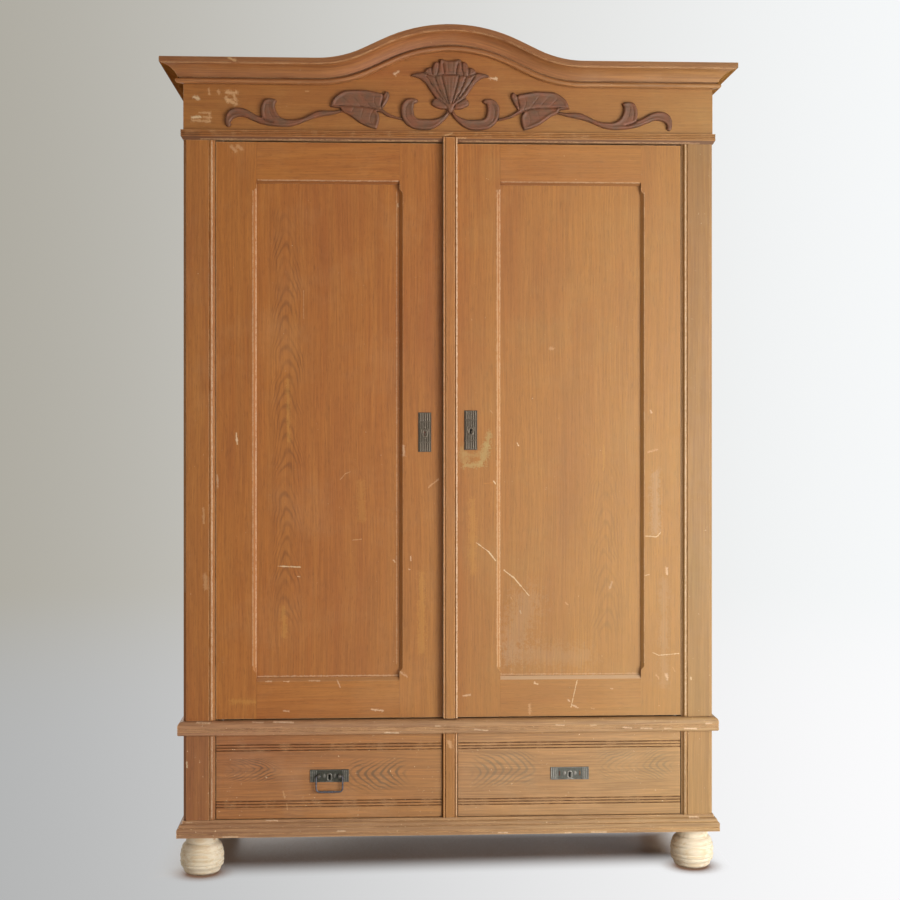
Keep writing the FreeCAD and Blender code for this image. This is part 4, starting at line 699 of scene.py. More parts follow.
# Knocks, scratches and stains on the front, with some painted highlights and shades: from and to
# (x, z) and width in mm, colour, strength
frontMarks = [
    ((-546, 1918), (-522, 1917), 8.0, "worn", 0.85),
    ((-541, 1899), (-524, 1891), 8.5, "worn", 0.85), ((-546, 1908), (-543, 1896), 6.5, "worn", 0.7),
    ((-527, 1911), (-524, 1899), 6.0, "worn", 0.7), ((-565, 1920), (-563, 1913), 6.0, "worn", 0.6),
    ((-588, 1925), (-587, 1914), 4.5, "worn", 0.6), ((-624, 1906), (-612, 1902), 6.0, "bare", 0.6),
    ((-628, 1856), (-608, 1858), 4.2, "bare", 0.7), ((-628, 1849), (-584, 1847), 5.5, "worn", 0.7),
    ((-611, 1868), (-584, 1867), 3.6, "worn", 0.7), ((-601, 1858), (-582, 1856), 4.2, "worn", 0.7),
    ((-587, 1869), (-586, 1847), 3.8, "worn", 0.6), ((-354, 1923), (-347, 1923), 2.5, "worn", 0.5),
    ((-135, 1966), (-133, 1962), 2.5, "worn", 0.6), ((97, 1964), (100, 1959), 2.5, "worn", 0.5),
    ((-534, 1990), (-519, 1984), 5.0, "worn", 0.8), ((97, 1086), (92, 1059), 10.0, "olive", 0.55),
    ((90, 1054), (80, 1018), 15.0, "olive", 0.6), ((78, 1012), (36, 1007), 9.0, "olive", 0.6),
    ((28, 1046), (34, 1020), 16.0, "olive", 0.34), ((34, 1037), (68, 1032), 12.0, "olive", 0.3),
    ((167, 1062), (170, 1056), 2.2, "bare", 0.95), ((107, 970), (112, 963), 2.0, "bare", 0.9),
    ((85, 963), (105, 966), 2.5, "pale", 0.6), ((100, 1142), (105, 1137), 2.0, "worn", 0.6),
    ((65, 818), (95, 796), 1.8, "bare", 0.85), ((95, 796), (112, 774), 2.0, "bare", 0.8),
    ((134, 749), (159, 730), 2.1, "bare", 0.8), ((159, 730), (196, 686), 1.8, "bare", 0.85),
    ((174, 649), (176, 642), 2.5, "greyed", 0.9), ((151, 683), (154, 676), 1.7, "worn", 0.6),
    ((287, 668), (292, 663), 2.2, "worn", 0.6), ((250, 1297), (255, 1296), 5.6, "worn", 0.55),
    ((509, 985), (509, 846), 17.0, "greyed", 0.28), ((484, 833), (512, 831), 2.0, "bare", 0.6),
    ((512, 831), (521, 841), 2.2, "bare", 0.6), ((483, 735), (492, 738), 2.2, "bare", 0.5),
    ((535, 755), (537, 738), 3.4, "worn", 0.7), ((530, 720), (530, 470), 18.0, "greyed", 0.15),
    ((502, 545), (517, 538), 1.7, "bare", 0.6), ((517, 538), (567, 542), 1.7, "bare", 0.7),
    ((511, 489), (517, 481), 2.9, "worn", 0.6), ((532, 493), (540, 481), 3.2, "worn", 0.6),
    ((552, 508), (557, 498), 2.2, "worn", 0.5), ((150, 560), (190, 670), 60.0, "greyed", 0.17),
    ((150, 540), (330, 535), 44.0, "greyed", 0.13), ((-533, 1786), (-524, 1776), 6.5, "worn", 0.6),
    ((-519, 1789), (-510, 1781), 6.0, "worn", 0.55), ((-422, 762), (-367, 759), 2.2, "bare", 0.75),
    ((-374, 737), (-369, 736), 2.5, "bare", 0.7), ((-240, 825), (-218, 827), 1.7, "worn", 0.6),
    ((-138, 775), (-135, 770), 2.2, "bare", 0.6), ((-269, 974), (-257, 988), 1.7, "worn", 0.55),
    ((-257, 988), (-245, 993), 1.7, "worn", 0.5), ((-128, 1653), (-128, 1646), 2.0, "bare", 0.6),
    ((-522, 1088), (-520, 1062), 2.9, "bare", 0.7), ((-359, 1437), (-359, 1369), 1.2, "worn", 0.5),
    ((208, 471), (216, 469), 2.5, "bare", 0.6), ((314, 478), (299, 412), 1.7, "bare", 0.6),
    ((349, 409), (356, 407), 2.5, "worn", 0.6), ((36, 443), (43, 441), 2.7, "worn", 0.6),
    ((-3, 331), (1, 318), 7.0, "worn", 0.8), ((-642, 287), (-641, 275), 3.2, "bare", 0.7),
    ((596, 483), (597, 478), 2.9, "bare", 0.6), ((-408, 211), (-405, 196), 2.5, "worn", 0.6),
    ((-400, 182), (-398, 167), 2.2, "worn", 0.6), ((-608, 1804), (-30, 1804), 1.8, "worn", 0.6),
    ((24, 1804), (617, 1804), 1.8, "worn", 0.55), ((-13, 1816), (4, 1822), 3.9, "worn", 0.7),
    ((12, 1810), (38, 1811), 3.2, "worn", 0.6), ((-655, 1814), (-615, 1814), 12.0, "shadeAndGrime", 0.4),
    # The long chalk lines from here to the posts' beads beside the drawers, along the panels'
    # chamfers and rails, the strip's edges and the posts' beads, are rubbed paint and painted
    # highlight
    ((-482.5, 520), (-482.5, 1680), 1.6, "chalk", 0.4),
    ((-475, 516), (-475, 1684), 1.6, "chalk", 0.55),
    ((-131, 520), (-131, 1682), 1.8, "chalk", 0.28), ((-470, 492), (-127, 492), 2.2, "chalk", 0.45),
    ((-470, 1706), (-127, 1706), 1.6, "chalk", 0.4), ((127, 492), (470, 492), 2.4, "chalk", 0.3),
    ((127, 1706), (470, 1706), 1.6, "chalk", 0.35), ((117, 514), (117, 1684), 3.4, "chalk", 0.3),
    ((123.4, 512), (123.4, 1686), 1.8, "chalk", 0.55),
    ((480.5, 520), (480.5, 1682), 1.6, "chalk", 0.4),
    ((-16.8, 392), (-16.8, 1810), 1.8, "chalk", 0.55),
    ((15.6, 392), (15.6, 1810), 2.4, "chalk", 0.8), ((-581, 392), (-581, 1800), 2.2, "chalk", 0.65),
    ((-646, 700), (-646, 1790), 1.6, "chalk", 0.35),
    ((582.5, 392), (582.5, 1800), 2.2, "chalk", 0.65),
    ((-581, 150), (-581, 348), 2.0, "chalk", 0.5), ((581, 150), (581, 348), 2.0, "chalk", 0.45),
    # Behind the right drawer plate's two slots, two darkest brown marks at full strength paint the
    # shade inside them
    ((15.6, 150), (15.6, 348), 2.0, "chalk", 0.55), ((269.5, 243), (269.5, 255), 7.0, "shadeAndGrime", 1.0),
    ((319.5, 243), (319.5, 255), 7.0, "shadeAndGrime", 1.0), ((98, 1960), (114, 1958), 5.0, "chalk", 0.7),
    ((-136, 1968), (-128, 1973), 4.0, "chalk", 0.6),
    ((-522, 1083), (-521, 1072), 4.2, "chalk", 0.59),
    ((-568, 985), (-567, 956), 3.4, "chalk", 0.42),
    ((-114, 1056), (-114, 1035), 6.0, "chalk", 0.38), ((-97, 785), (-96, 775), 2.5, "chalk", 0.68),
    ((-102, 754), (-99, 753), 2.1, "chalk", 0.59), ((-192, 411), (-166, 407), 3.4, "chalk", 0.68),
    ((-408, 409), (-395, 408), 2.5, "chalk", 0.59), ((-122, 501), (-106, 490), 5.1, "chalk", 0.34),
    ((-450, 481), (-435, 482), 2.0, "chalk", 0.68), ((-408, 481), (-394, 481), 2.0, "chalk", 0.68),
    ((-345, 482), (-319, 482), 2.0, "chalk", 0.59), ((-277, 484), (-269, 466), 2.0, "chalk", 0.51),
    ((-52, 955), (-29, 974), 3.0, "worn", 0.7), ((-597, 743), (-596, 711), 8.0, "worn", 0.45),
    ((-602, 906), (-600, 869), 4.0, "worn", 0.5), ((-532, 434), (-477, 431), 10.0, "ochre", 0.35),
    ((-398, 1218), (-395, 1070), 7.0, "ochre", 0.3),
    ((-408, 657), (-406, 589), 10.0, "ochre", 0.35), ((-70, 740), (-68, 554), 14.0, "ochre", 0.3),
    ((-219, 964), (-216, 879), 16.0, "ochre", 0.22), ((497, 1144), (499, 1138), 3.0, "chalk", 0.56),
    ((491, 1040), (512, 1046), 4.0, "worn", 0.7), ((538, 753), (538, 737), 3.4, "chalk", 0.49),
    ((397, 703), (402, 719), 3.8, "chalk", 0.28), ((292, 429), (295, 426), 3.0, "chalk", 0.56),
    ((301, 418), (316, 410), 3.4, "chalk", 0.56), ((209, 474), (212, 469), 3.0, "chalk", 0.56),
    ((33, 442), (49, 444), 3.0, "chalk", 0.52), ((397, 457), (402, 456), 2.2, "chalk", 0.42),
    ((196, 419), (197, 395), 5.0, "worn", 0.6), ((536, 491), (539, 478), 3.8, "chalk", 0.42),
    ((381, 994), (382, 1058), 5.0, "ochre", 0.35), ((55, 920), (56, 750), 14.0, "ochre", 0.28),
    # Behind the left escutcheon's keyhole, a darkest brown mark at full strength paints the shade
    # inside it
    ((-62, 1083), (-62, 1097), 7.0, "shadeAndGrime", 1.0), ((-616, 385), (-584, 384), 2.6, "chalk", 0.75),
    ((-481, 385), (-455, 384), 1.8, "chalk", 0.6), ((-431, 385), (-383, 384), 2.2, "chalk", 0.85),
    ((-161, 357), (-127, 356), 3.0, "chalk", 0.75), ((-37, 372), (-25, 372), 2.6, "chalk", 0.6),
    ((59, 363), (92, 360), 1.8, "chalk", 0.85), ((259, 372), (279, 371), 2.2, "chalk", 0.75),
    ((346, 370), (358, 370), 3.0, "chalk", 0.6), ((425, 364), (446, 363), 2.6, "chalk", 0.85),
    ((469, 362), (498, 361), 1.8, "chalk", 0.75), ((528, 361), (544, 361), 2.2, "chalk", 0.6),
    ((578, 360), (606, 360), 3.0, "chalk", 0.85), ((631, 372), (645, 372), 2.6, "chalk", 0.75),
    ((-643, 141), (-629, 141), 1.8, "chalk", 0.6), ((-552, 108), (-517, 108), 2.2, "chalk", 0.85),
    ((-450, 144), (-422, 144), 3.0, "chalk", 0.75), ((-275, 119), (-257, 119), 2.6, "chalk", 0.6),
    ((118, 110), (140, 110), 1.8, "chalk", 0.85), ((280, 108), (296, 108), 2.2, "chalk", 0.75),
    ((347, 108), (383, 108), 3.0, "chalk", 0.6), ((592, 139), (613, 139), 2.6, "chalk", 0.85),
]


opening = {"x": (130, 467), "z": (498, 1693)}  # what lies in here is on a door's panel


def frontMarksOn(pieces):  # the marks that fall on these pieces' fronts
    found = []
    fronts = [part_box(piece) for piece in pieces if "side" not in piece and "box" not in piece]
    for spot in frontMarks:
        run, rise = zip(spot[0], spot[1])
        if "stile" in pieces[0] and all(opening["x"][0] < abs(x) < opening["x"][1] for x in run):
            continue
        if "rail" in pieces[0] and all(opening["z"][0] < z < opening["z"][1] for z in rise):
            continue
        for low, high in fronts:
            if (min(run) * mm < high[0] and max(run) * mm > low[0]
                    and min(rise) * mm < high[2] and max(rise) * mm > low[2]):
                found.append(spot)
                break
    return found


reedShadeAndDirt = (-246.7, -245.6, "shadeAndGrime", 0.85)  # from and to in mm, colour, strength: painted shade and dirt in the drawer fronts' reeding grooves
stileWear = dict(wear=1.2, rubAt=(0.30, 0.47), butted=True)
# under: painted shade on the rails' faces that look down
railWear = dict(along="x", wear=1.1, rubAt=(0.34, 0.50), butted=True, under=0.35)
postWear = dict(rubAt=(0.36, 0.52))
# the frieze's darker tint is partly its own colour and partly painted shadow under the crown
friezeLook = dict(along="x", tint="#9f652a", film="olive", pale=0.03)
drawerWear = dict(along="x", streak=0.7, film="chalk", wear=1.6, darkByDepth=reedShadeAndDirt)
# The left and right copies are lit and shaded copies of one paint: the right door and drawer get
# paler, greyer films and paler faces that look up as painted window sheen, and the right post a
# darker tint as painted shade
paints = {
    "doorStileLeft": (["left_door_stiles"], stileWear),
    "doorStileRightSheen": (["right_door_stiles"], dict(stileWear, film="olive", pale=0.03)),
    "doorRailLeft": (["left_door_rails"], dict(railWear, shadeAndGrime=0.4, paleDustAndLight=0.12)),
    "doorRailRightSheen": (["right_door_rails"], dict(railWear, shadeAndGrime=0.3, paleDustAndLight=0.6)),
    "panelLeft": (["left_door_panel"], dict(flames=leftFlames, figure=0.42)),
    "panelRightSheen": (["right_door_panel"],
                   dict(flames=rightFlames, figure=0.30, film="olive", pale=0.04)),
    "stripPaint": (["closing_strip"], dict(pale=0.06, wear=1.2, rubAt=(0.26, 0.42))),
    "postPaint": (["corner_post_left", "drawer_divider"],
                  dict(postWear, tint="#ab6a29", pale=0.02, wear=1.2)),
    "postPaintRightShaded": (["corner_post_right"],
                       dict(postWear, tint="#80501f", grain=0.15, film="greyed", pale=0.06,
                            wear=1.2, chipAt=0.69)),
    "basePostPaint": (["base_posts"],
                      dict(postWear, tint="#975a27", grain=0.2, film="greyed", pale=0.10,
                           wear=1.3, chipAt=0.68)),
    "sidePaint": (["side_frame_left", "side_frame_right", "side_panels"],
                  dict(raw=["inward"], tint="#9a5d27", wear=0.8)),
    "mouldPaint": (["base_moulding", "waist_moulding"],
                   dict(along="x", tint="#9a602b", grain=0.45, film="chalk", pale=0.26, wear=1.3,
                        rubAt=(0.38, 0.54), chipAt=0.655, shadeAndGrime=0.3)),
    "baseSidePaint": (["base_sides"],
                      dict(along="x", raw=["inward"], tint="#a4672a", film="greyed", pale=0.12)),
    "headPaint": (["under_frieze_moulding"],
                  dict(along="x", tint="#a46729", film="greyed", pale=0.04, wear=0.7,
                       rubAt=(0.50, 0.64), darkByDepth=(-259.7, -258.9, "shadeAndGrime", 0.7))),
    "crownPaint": (["crown_moulding"],
                   dict(along="x", rise=0.085, tint="#a66a33", streak=0.6, grain=0.22,
                        film="greyed", pale=0.08, rubAt=(0.36, 0.52), chipAt=0.69,
                        darkByDepth=(-303, -305, "pore", 0.30))),
    # the crown's returns face away from the window: their darker tint and heavier corner darkening
    # are painted shade
    "crownReturnShadedPaint": (["crown_returns"], dict(along="x", tint="#7a5229", gloss=0.0, shadeAndGrime=0.6)),
    "friezePaint": (["frieze_board"], friezeLook),
    "crownBoxPaint": (["crown_box"], dict(friezeLook, raw=[inside, (0, -1, 0), "inward"])),
    "drawerPaintLeft": (["left_drawer_front"],
                        dict(drawerWear, flames=leftFigures, figure=1.1, grain=0.1, pale=0.09,
                             chipAt=0.675)),
    "drawerPaintRightSheen": (["right_drawer_front"],
                         dict(drawerWear, flames=rightFigures, figure=1.4, grain=0.25, pale=0.19,
                              chipAt=0.68)),
}
for name, (pieces, look) in paints.items():
    made = grainedPaint(name, marks=frontMarksOn(pieces), **look)
    for piece in pieces:
        dress(piece, made, "frame" if "stile" in piece or "rail" in piece else "timber")
print("grained paint on")

freshPine = agedPine("freshPine", along="x", board="#f4e6cc", ring="#e6cda4", sooty=0.05,
                     marks=[((-566, 79), (-562, 74), 5, "russet", 0.8),
                            ((-579, 88), (-577, 92), 3, "pale", 0.6)])
doorPatina = patinatedBrass("doorPatina", -248, "#3c3128", "#7b6f60", "#4a4336")
drawerPatina = patinatedBrass("drawerPatina", -247, "#38332e", "#868077", "#4a4d41")
palePatina = patinatedBrass("palePatina", -247, "#57524b", "#9c968d", "#5f635a", rub=0.9)
bailIron = darkIron("bailIron", steel="#6b6a70", rust="#4d4140", roughness=0.40, metallic=0.75)
carvedStain = stainedCarving("carvedStain")
bareFinishes = [
    (agedPine("barePine"), "timber",
     ["shelf_cleats", "rail_sockets", "drawer_guides", "door_stops"]),
    (agedPine("backPine", boards=148), "timber", ["back_boards", "base_back"]),
    (agedPine("barePineAcross", along="x"), "timber",
     ["base_frame", "waist_board", "head_board", "crown_blocks", "hat_shelf", "hanging_rail",
      "left_drawer_box", "right_drawer_box"]),
    (darkIron("iron"), "metal",
     ["pivot_plates", "left_door_pivots", "right_door_pivots", "door_lock_case",
      "left_drawer_lock_case", "right_drawer_lock_case", "left_door_bolt_guides"]),
    (darkIron("boltMetal", steel="#8d8a84", rust="#5f5248", roughness=0.38, metallic=0.9), "metal",
     ["left_door_top_bolt", "left_door_bottom_bolt", "door_lock_bolt", "left_drawer_lock_bolt",
      "right_drawer_lock_bolt"]),
]
for material, edge, pieces in bareFinishes:
    for piece in pieces:
        dress(piece, material, edge)
print("bare pine, iron and the other finishes ready")


def newPiece(name, shape, material, creased=False):  # a smooth piece from a bmesh
    mesh = bpy.data.meshes.new(name)
    shape.to_mesh(mesh)
    shape.free()
    mesh.materials.append(material)
    mesh.polygons.foreach_set("use_smooth", [True] * len(mesh.polygons))
    piece = bpy.data.objects.new(name, mesh)
    bpy.context.scene.collection.objects.link(piece)
    if creased:
        shade = piece.modifiers.new("shade", "NODES")
        shade.node_group = edgeRule
    return piece


def skin(shape, rings):  # faces from ring to ring, to a point or a flat cap at each end
    for low, high in zip(rings, rings[1:]):
        count = max(len(low), len(high))
        for i in range(count):
            j = (i + 1) % count
            if len(low) == 1:
                shape.faces.new((low[0], high[j], high[i]))
            elif len(high) == 1:
                shape.faces.new((low[i], low[j], high[0]))
            else:
                shape.faces.new((low[i], low[j], high[j], high[i]))
    for end in (rings[0], rings[-1]):
        if len(end) > 1:
            shape.faces.new(end)


# Bun feet: new turned pine, a plain neck, a bun and a small sole, with the lathe's ridges in them
foot = {"across": 611, "front": -192, "back": 244, "sole": 26, "belly": 54, "bellyAt": 40,
        "neck": 39.5, "neckAt": 79, "top": 106, "cut": 2.5, "ridges": 0.50, "sides": 96,
        "steps": 72}


def footProfile():
    points = [(0, 0), (foot["sole"] - 2, 0), (foot["sole"], 1.2)]
    for i in range(1, foot["steps"]):
        z = 1.2 + (foot["neckAt"] - 3.2) * i / foot["steps"]
        if z < foot["bellyAt"]:
            part, rim = (foot["bellyAt"] - z) / foot["bellyAt"], foot["sole"]
        else:
            part, rim = (z - foot["bellyAt"]) / (foot["neckAt"] - foot["bellyAt"]), foot["neck"] - 2
        radius = rim + (foot["belly"] - rim) * math.sqrt(max(0, 1 - part ** 2.2))
        turn = z * foot["ridges"] + math.sin(z * 0.21) * 1.2  # not quite even, as by hand
        points.append((radius - foot["cut"] * (0.5 + 0.5 * math.sin(turn)) ** 2, z))
    neck, neckAt, top = foot["neck"], foot["neckAt"], foot["top"]
    return points + [(neck - 2.2, neckAt - 1.2), (neck - 0.4, neckAt + 0.6), (neck, neckAt + 2),
                     (neck, top - 0.5), (neck - 0.6, top), (0, top)]


def turnFoot(name, x, y):
    shape = bmesh.new()
    rings = []
    for radius, z in footProfile():
        if radius == 0:
            rings.append([shape.verts.new((x * mm, y * mm, z * mm))])
            continue
        ring = []
        for i in range(foot["sides"]):
            angle = math.tau * i / foot["sides"]
            ring.append(shape.verts.new(((x + radius * math.cos(angle)) * mm,
                                         (y + radius * math.sin(angle)) * mm, z * mm)))
        rings.append(ring)
    skin(shape, rings)
    piece = newPiece(name, shape, freshPine)
    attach(piece, "root")
    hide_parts("bun_feet")


for side, way in (("left", -1), ("right", 1)):
    for end in ("front", "back"):
        turnFoot(f"bun_foot_{end}_{side}", way * foot["across"], foot[end])
print("bun feet turned")


def alongCurve(points, step=1.5):  # a smooth run through the points, in mm
    points = [np.array(p, float) for p in points]
    if len(points) == 2:
        count = max(1, round(np.linalg.norm(points[1] - points[0]) / step))
        return [points[0] + (points[1] - points[0]) * i / count for i in range(count + 1)]
    ends = [2 * points[0] - points[1]] + points + [2 * points[-1] - points[-2]]
    run = []
    for a, b, c, d in zip(ends, ends[1:], ends[2:], ends[3:]):
        count = max(2, round(np.linalg.norm(c - b) / step))
        for i in range(count):
            t = i / count
            run.append(0.5 * (2 * b + (c - a) * t + (2 * a - 5 * b + 4 * c - d) * t ** 2
                              + (3 * b - a - 3 * c + d) * t ** 3))
    return run + [points[-1]]


def closedOutline(stretches, place, step=1.5):  # one rim, with a corner between two stretches
    run = []
    for stretch in stretches:
        run += alongCurve([place(u, v) for u, v in stretch], step=step)[:-1]
    return np.array(run)


def distanceTo(spots, runs):  # from each spot to the nearest stretch of any run, in mm
    best = np.full(len(spots), 1e9)
    for run in runs:
        run = np.array(run)
        for a, b in zip(run, run[1:]):
            way = b - a
            part = np.clip(((spots - a) @ way) / max(way @ way, 1e-9), 0, 1)
            best = np.minimum(best, np.linalg.norm(spots - a - part[:, None] * way, axis=1))
    return best


def insideOf(spots, outline):  # which spots the outline encloses
    x, z = spots[:, 0], spots[:, 1]
    hits = np.zeros(len(spots), bool)
    for (x0, z0), (x1, z1) in zip(outline, np.roll(outline, -1, axis=0)):
        crossing = (z0 > z) != (z1 > z)
        if z0 != z1:
            hits ^= crossing & (x < (x1 - x0) * (z - z0) / (z1 - z0) + x0)
    return hits


def reliefMesh(outline, holes, back, depth, height, step):
    # a closed solid from a flat outline: its front stands off the back plane by depth times height
    low, high = outline.min(0), outline.max(0)
    grid = []
    for row, z in enumerate(np.arange(low[1] + step / 2, high[1], step * 0.87)):  # even triangles
        shift = step / 2 if row % 2 else 0
        grid += [(x, z) for x in np.arange(low[0] + step / 4 + shift, high[0], step)]
    grid = np.array(grid)
    rims = [np.vstack([r, r[:1]]) for r in [outline] + holes]
    keep = insideOf(grid, outline) & (distanceTo(grid, rims) > step * 0.45)
    for hole in holes:
        keep &= ~insideOf(grid, hole)
    flat, edges, start = [], [], 0
    for rim in [outline] + holes:
        flat += [tuple(p) for p in rim]
        edges += [(start + i, start + (i + 1) % len(rim)) for i in range(len(rim))]
        start += len(rim)
    flat += [tuple(p) for p in grid[keep]]
    points, _, faces, *_ = delaunay_2d_cdt([Vector(p) for p in flat], edges, [], 0, 1e-6)
    spots = np.array([tuple(p) for p in points])
    middles = np.array([spots[list(f)].mean(0) for f in faces])
    solid = insideOf(middles, outline)
    for hole in holes:
        solid &= ~insideOf(middles, hole)
    faces = [f for f, s in zip(faces, solid) if s]
    stand = height(spots, distanceTo(spots, rims)) * depth
    shape = bmesh.new()
    front = [shape.verts.new((x * mm, (back - d) * mm, z * mm)) for (x, z), d in zip(spots, stand)]
    rear = [shape.verts.new((x * mm, back * mm, z * mm)) for x, z in spots]
    borders = {}
    for f in faces:
        shape.faces.new([front[i] for i in f])
        shape.faces.new([rear[i] for i in reversed(f)])
        for a, b in zip(f, f[1:] + f[:1]):
            borders[(a, b)] = True
    for a, b in borders:
        if (b, a) not in borders:
            shape.faces.new((front[b], front[a], rear[a], rear[b]))
    shape.verts.ensure_lookup_table()
    bmesh.ops.delete(shape, geom=[v for v in shape.verts if not v.link_faces], context="VERTS")
    bmesh.ops.recalc_face_normals(shape, faces=shape.faces)
    return shape


def pillow(distance, width):  # 0 on a line, rising to 1 at the width
    part = np.clip(distance / width, 0, 1)
    return np.sqrt(1 - (1 - part) ** 2)


# Applied carving: outlines in shares of each ornament's own length and height, and the gouge's
# cuts in mm or in shares of the depth
ornament = {"back": -254, "depth": 9, "base": 1826, "step": 2.0, "rim": 0.30, "round": 5.5,
            "cut": 0.48, "cutWidth": 6.0, "vein": 0.16, "veinWidth": 2.2, "dishFrom": 4.0,
            "dishWidth": 7.0}
flower = {
    "start": 0, "length": 97, "rise": 55, "height": 124,
    "outline": [
        [(0, .965), (.10, .968), (.20, .995), (.27, .985)],
        [(.27, .985), (.285, .93)],
        [(.285, .93), (.36, .945), (.43, .90), (.465, .82)],
        [(.465, .82), (.54, .825), (.62, .79), (.665, .735)],
        [(.665, .735), (.76, .725), (.86, .71), (.95, .69), (1, .651)],
        [(1, .651), (.90, .635), (.78, .605), (.64, .52), (.495, .355), (.38, .224)],
        [(.38, .224), (.44, .19), (.475, .13), (.47, .085)],
        [(.47, .085), (.38, .04), (.28, .01), (.206, 0)],
        [(.206, 0), (.12, 0), (.075, -.03)],
        [(.075, -.03), (.06, -.07)],
        [(.06, -.07), (0, -.07)],
    ],
    "cuts": [
        [(0, .683), (.16, .683), (.30, .67), (.45, .66), (.60, .69), (.67, .73)],
        [(.19, .90), (.16, .80), (.15, .70)],
        [(.285, .93), (.30, .80), (.33, .69)],
        [(.465, .82), (.47, .75), (.45, .67)],
        [(.60, .64), (.48, .50), (.36, .36), (.20, .20)],
        [(.40, .66), (.33, .50), (.22, .30), (.10, .14)],
        [(.22, .67), (.17, .50), (.10, .30), (.04, .12)],
        [(.38, .224), (.25, .16), (.12, .08), (.06, -.03)],
    ],
    "veins": [
        [(0, .62), (0, .30), (0, .05)],
        [(.10, .62), (.07, .40), (.03, .20)],
        [(.30, .60), (.24, .42), (.14, .24)],
        [(.50, .60), (.42, .47), (.30, .32)],
        [(.72, .64), (.60, .55), (.50, .43)],
        [(.07, .92), (.06, .80), (.06, .72)],
        [(.36, .88), (.37, .78), (.38, .70)],
        [(.56, .78), (.55, .72)],
        [(.16, .06), (.30, .10), (.43, .12)],
    ],
}
leaf = {
    "start": 144, "length": 150, "rise": 5, "height": 96,
    "outline": [
        [(.05, .955), (.095, .965), (.135, .885)],
        [(.135, .885), (.142, .908), (.22, .94), (.31, .967), (.45, 1), (.56, 1), (.68, .99),
         (.762, .975), (.875, .88), (.96, .746), (.988, .60)],
        [(.988, .60), (1, .58), (1, .56), (.93, .545), (.837, .526)],
        [(.837, .526), (.80, .44), (.687, .35), (.60, .25), (.499, .145), (.38, .06), (.311, .027),
         (.245, 0)],
        [(.245, 0), (.21, .14), (.195, .27), (.205, .38), (.236, .453)],
        [(.236, .453), (.19, .445)],
        [(.19, .445), (.06, .33), (-.065, .275), (-.18, .235)],
        [(-.18, .235), (-.18, .295)],
        [(-.18, .295), (-.065, .335), (.05, .41), (.15, .52)],
        [(.15, .52), (.11, .60), (.06, .73), (.03, .86), (.05, .955)],
    ],
    "cuts": [
        [(.20, .49), (.36, .55), (.55, .58), (.75, .585), (.96, .60)],
        [(.135, .885), (.15, .75), (.17, .60), (.17, .52)],
    ],
    "veins": [
        [(.24, .52), (.28, .68), (.27, .85)],
        [(.34, .55), (.42, .72), (.50, .88)],
        [(.50, .58), (.58, .74), (.66, .86)],
        [(.66, .59), (.74, .72), (.80, .82)],
        [(.28, .50), (.33, .40), (.35, .25), (.33, .12)],
        [(.45, .55), (.48, .42), (.50, .27)],
        [(.60, .57), (.63, .48), (.66, .40)],
        [(.74, .58), (.78, .52)],
    ],
}
innerScroll = {
    "start": 3, "length": 118.5, "rise": 3.5, "height": 78.5,
    "outline": [
        [(0, .60), (.043, .59), (.146, .442), (.317, .351), (.45, .345), (.575, .351), (.66, .37),
         (.71, .45), (.728, .57), (.735, .70), (.72, .82)],
        [(.72, .82), (.66, .865), (.643, .92), (.695, .985), (.815, 1), (.918, .93), (.986, .778),
         (1, .597), (.978, .390), (.901, .209), (.80, .09), (.746, .053), (.575, .015),
         (.386, .028), (.232, .131), (.112, .286), (.026, .442), (0, .50)],
        [(0, .50), (0, .60)],
    ],
    "cuts": [],
    "veins": [[(.70, .10), (.86, .32), (.90, .60), (.84, .86)]],
}
outerScroll = {
    "start": 258, "length": 291, "rise": 7.5, "height": 70.5,
    "outline": [
        [(.012, .60), (.041, .615), (.10, .59), (.176, .60), (.235, .565), (.293, .45),
         (.351, .335), (.419, .275), (.497, .285), (.545, .385), (.573, .56), (.583, .76),
         (.575, .86)],
        [(.575, .86), (.569, .92), (.593, .98), (.632, 1), (.670, .955), (.695, .80), (.704, .60),
         (.70, .36)],
        [(.70, .36), (.748, .44), (.806, .58), (.865, .66), (.923, .66), (.965, .58), (.99, .44),
         (1, .24), (.995, .10), (.985, .02), (.965, 0), (.948, .06)],
        [(.948, .06), (.95, .18), (.923, .30), (.874, .355), (.826, .325), (.767, .225),
         (.709, .13), (.622, .05), (.516, .02), (.447, .04), (.380, .12), (.322, .225),
         (.254, .325), (.196, .385), (.118, .445), (.05, .52), (.012, .56)],
        [(.012, .56), (.012, .60)],
    ],
    "cuts": [[(.70, .36), (.66, .24), (.60, .17)]],
    "veins": [[(.60, .30), (.625, .50), (.635, .75), (.63, .92)],
              [(.66, .35), (.67, .60), (.66, .85)]],
}


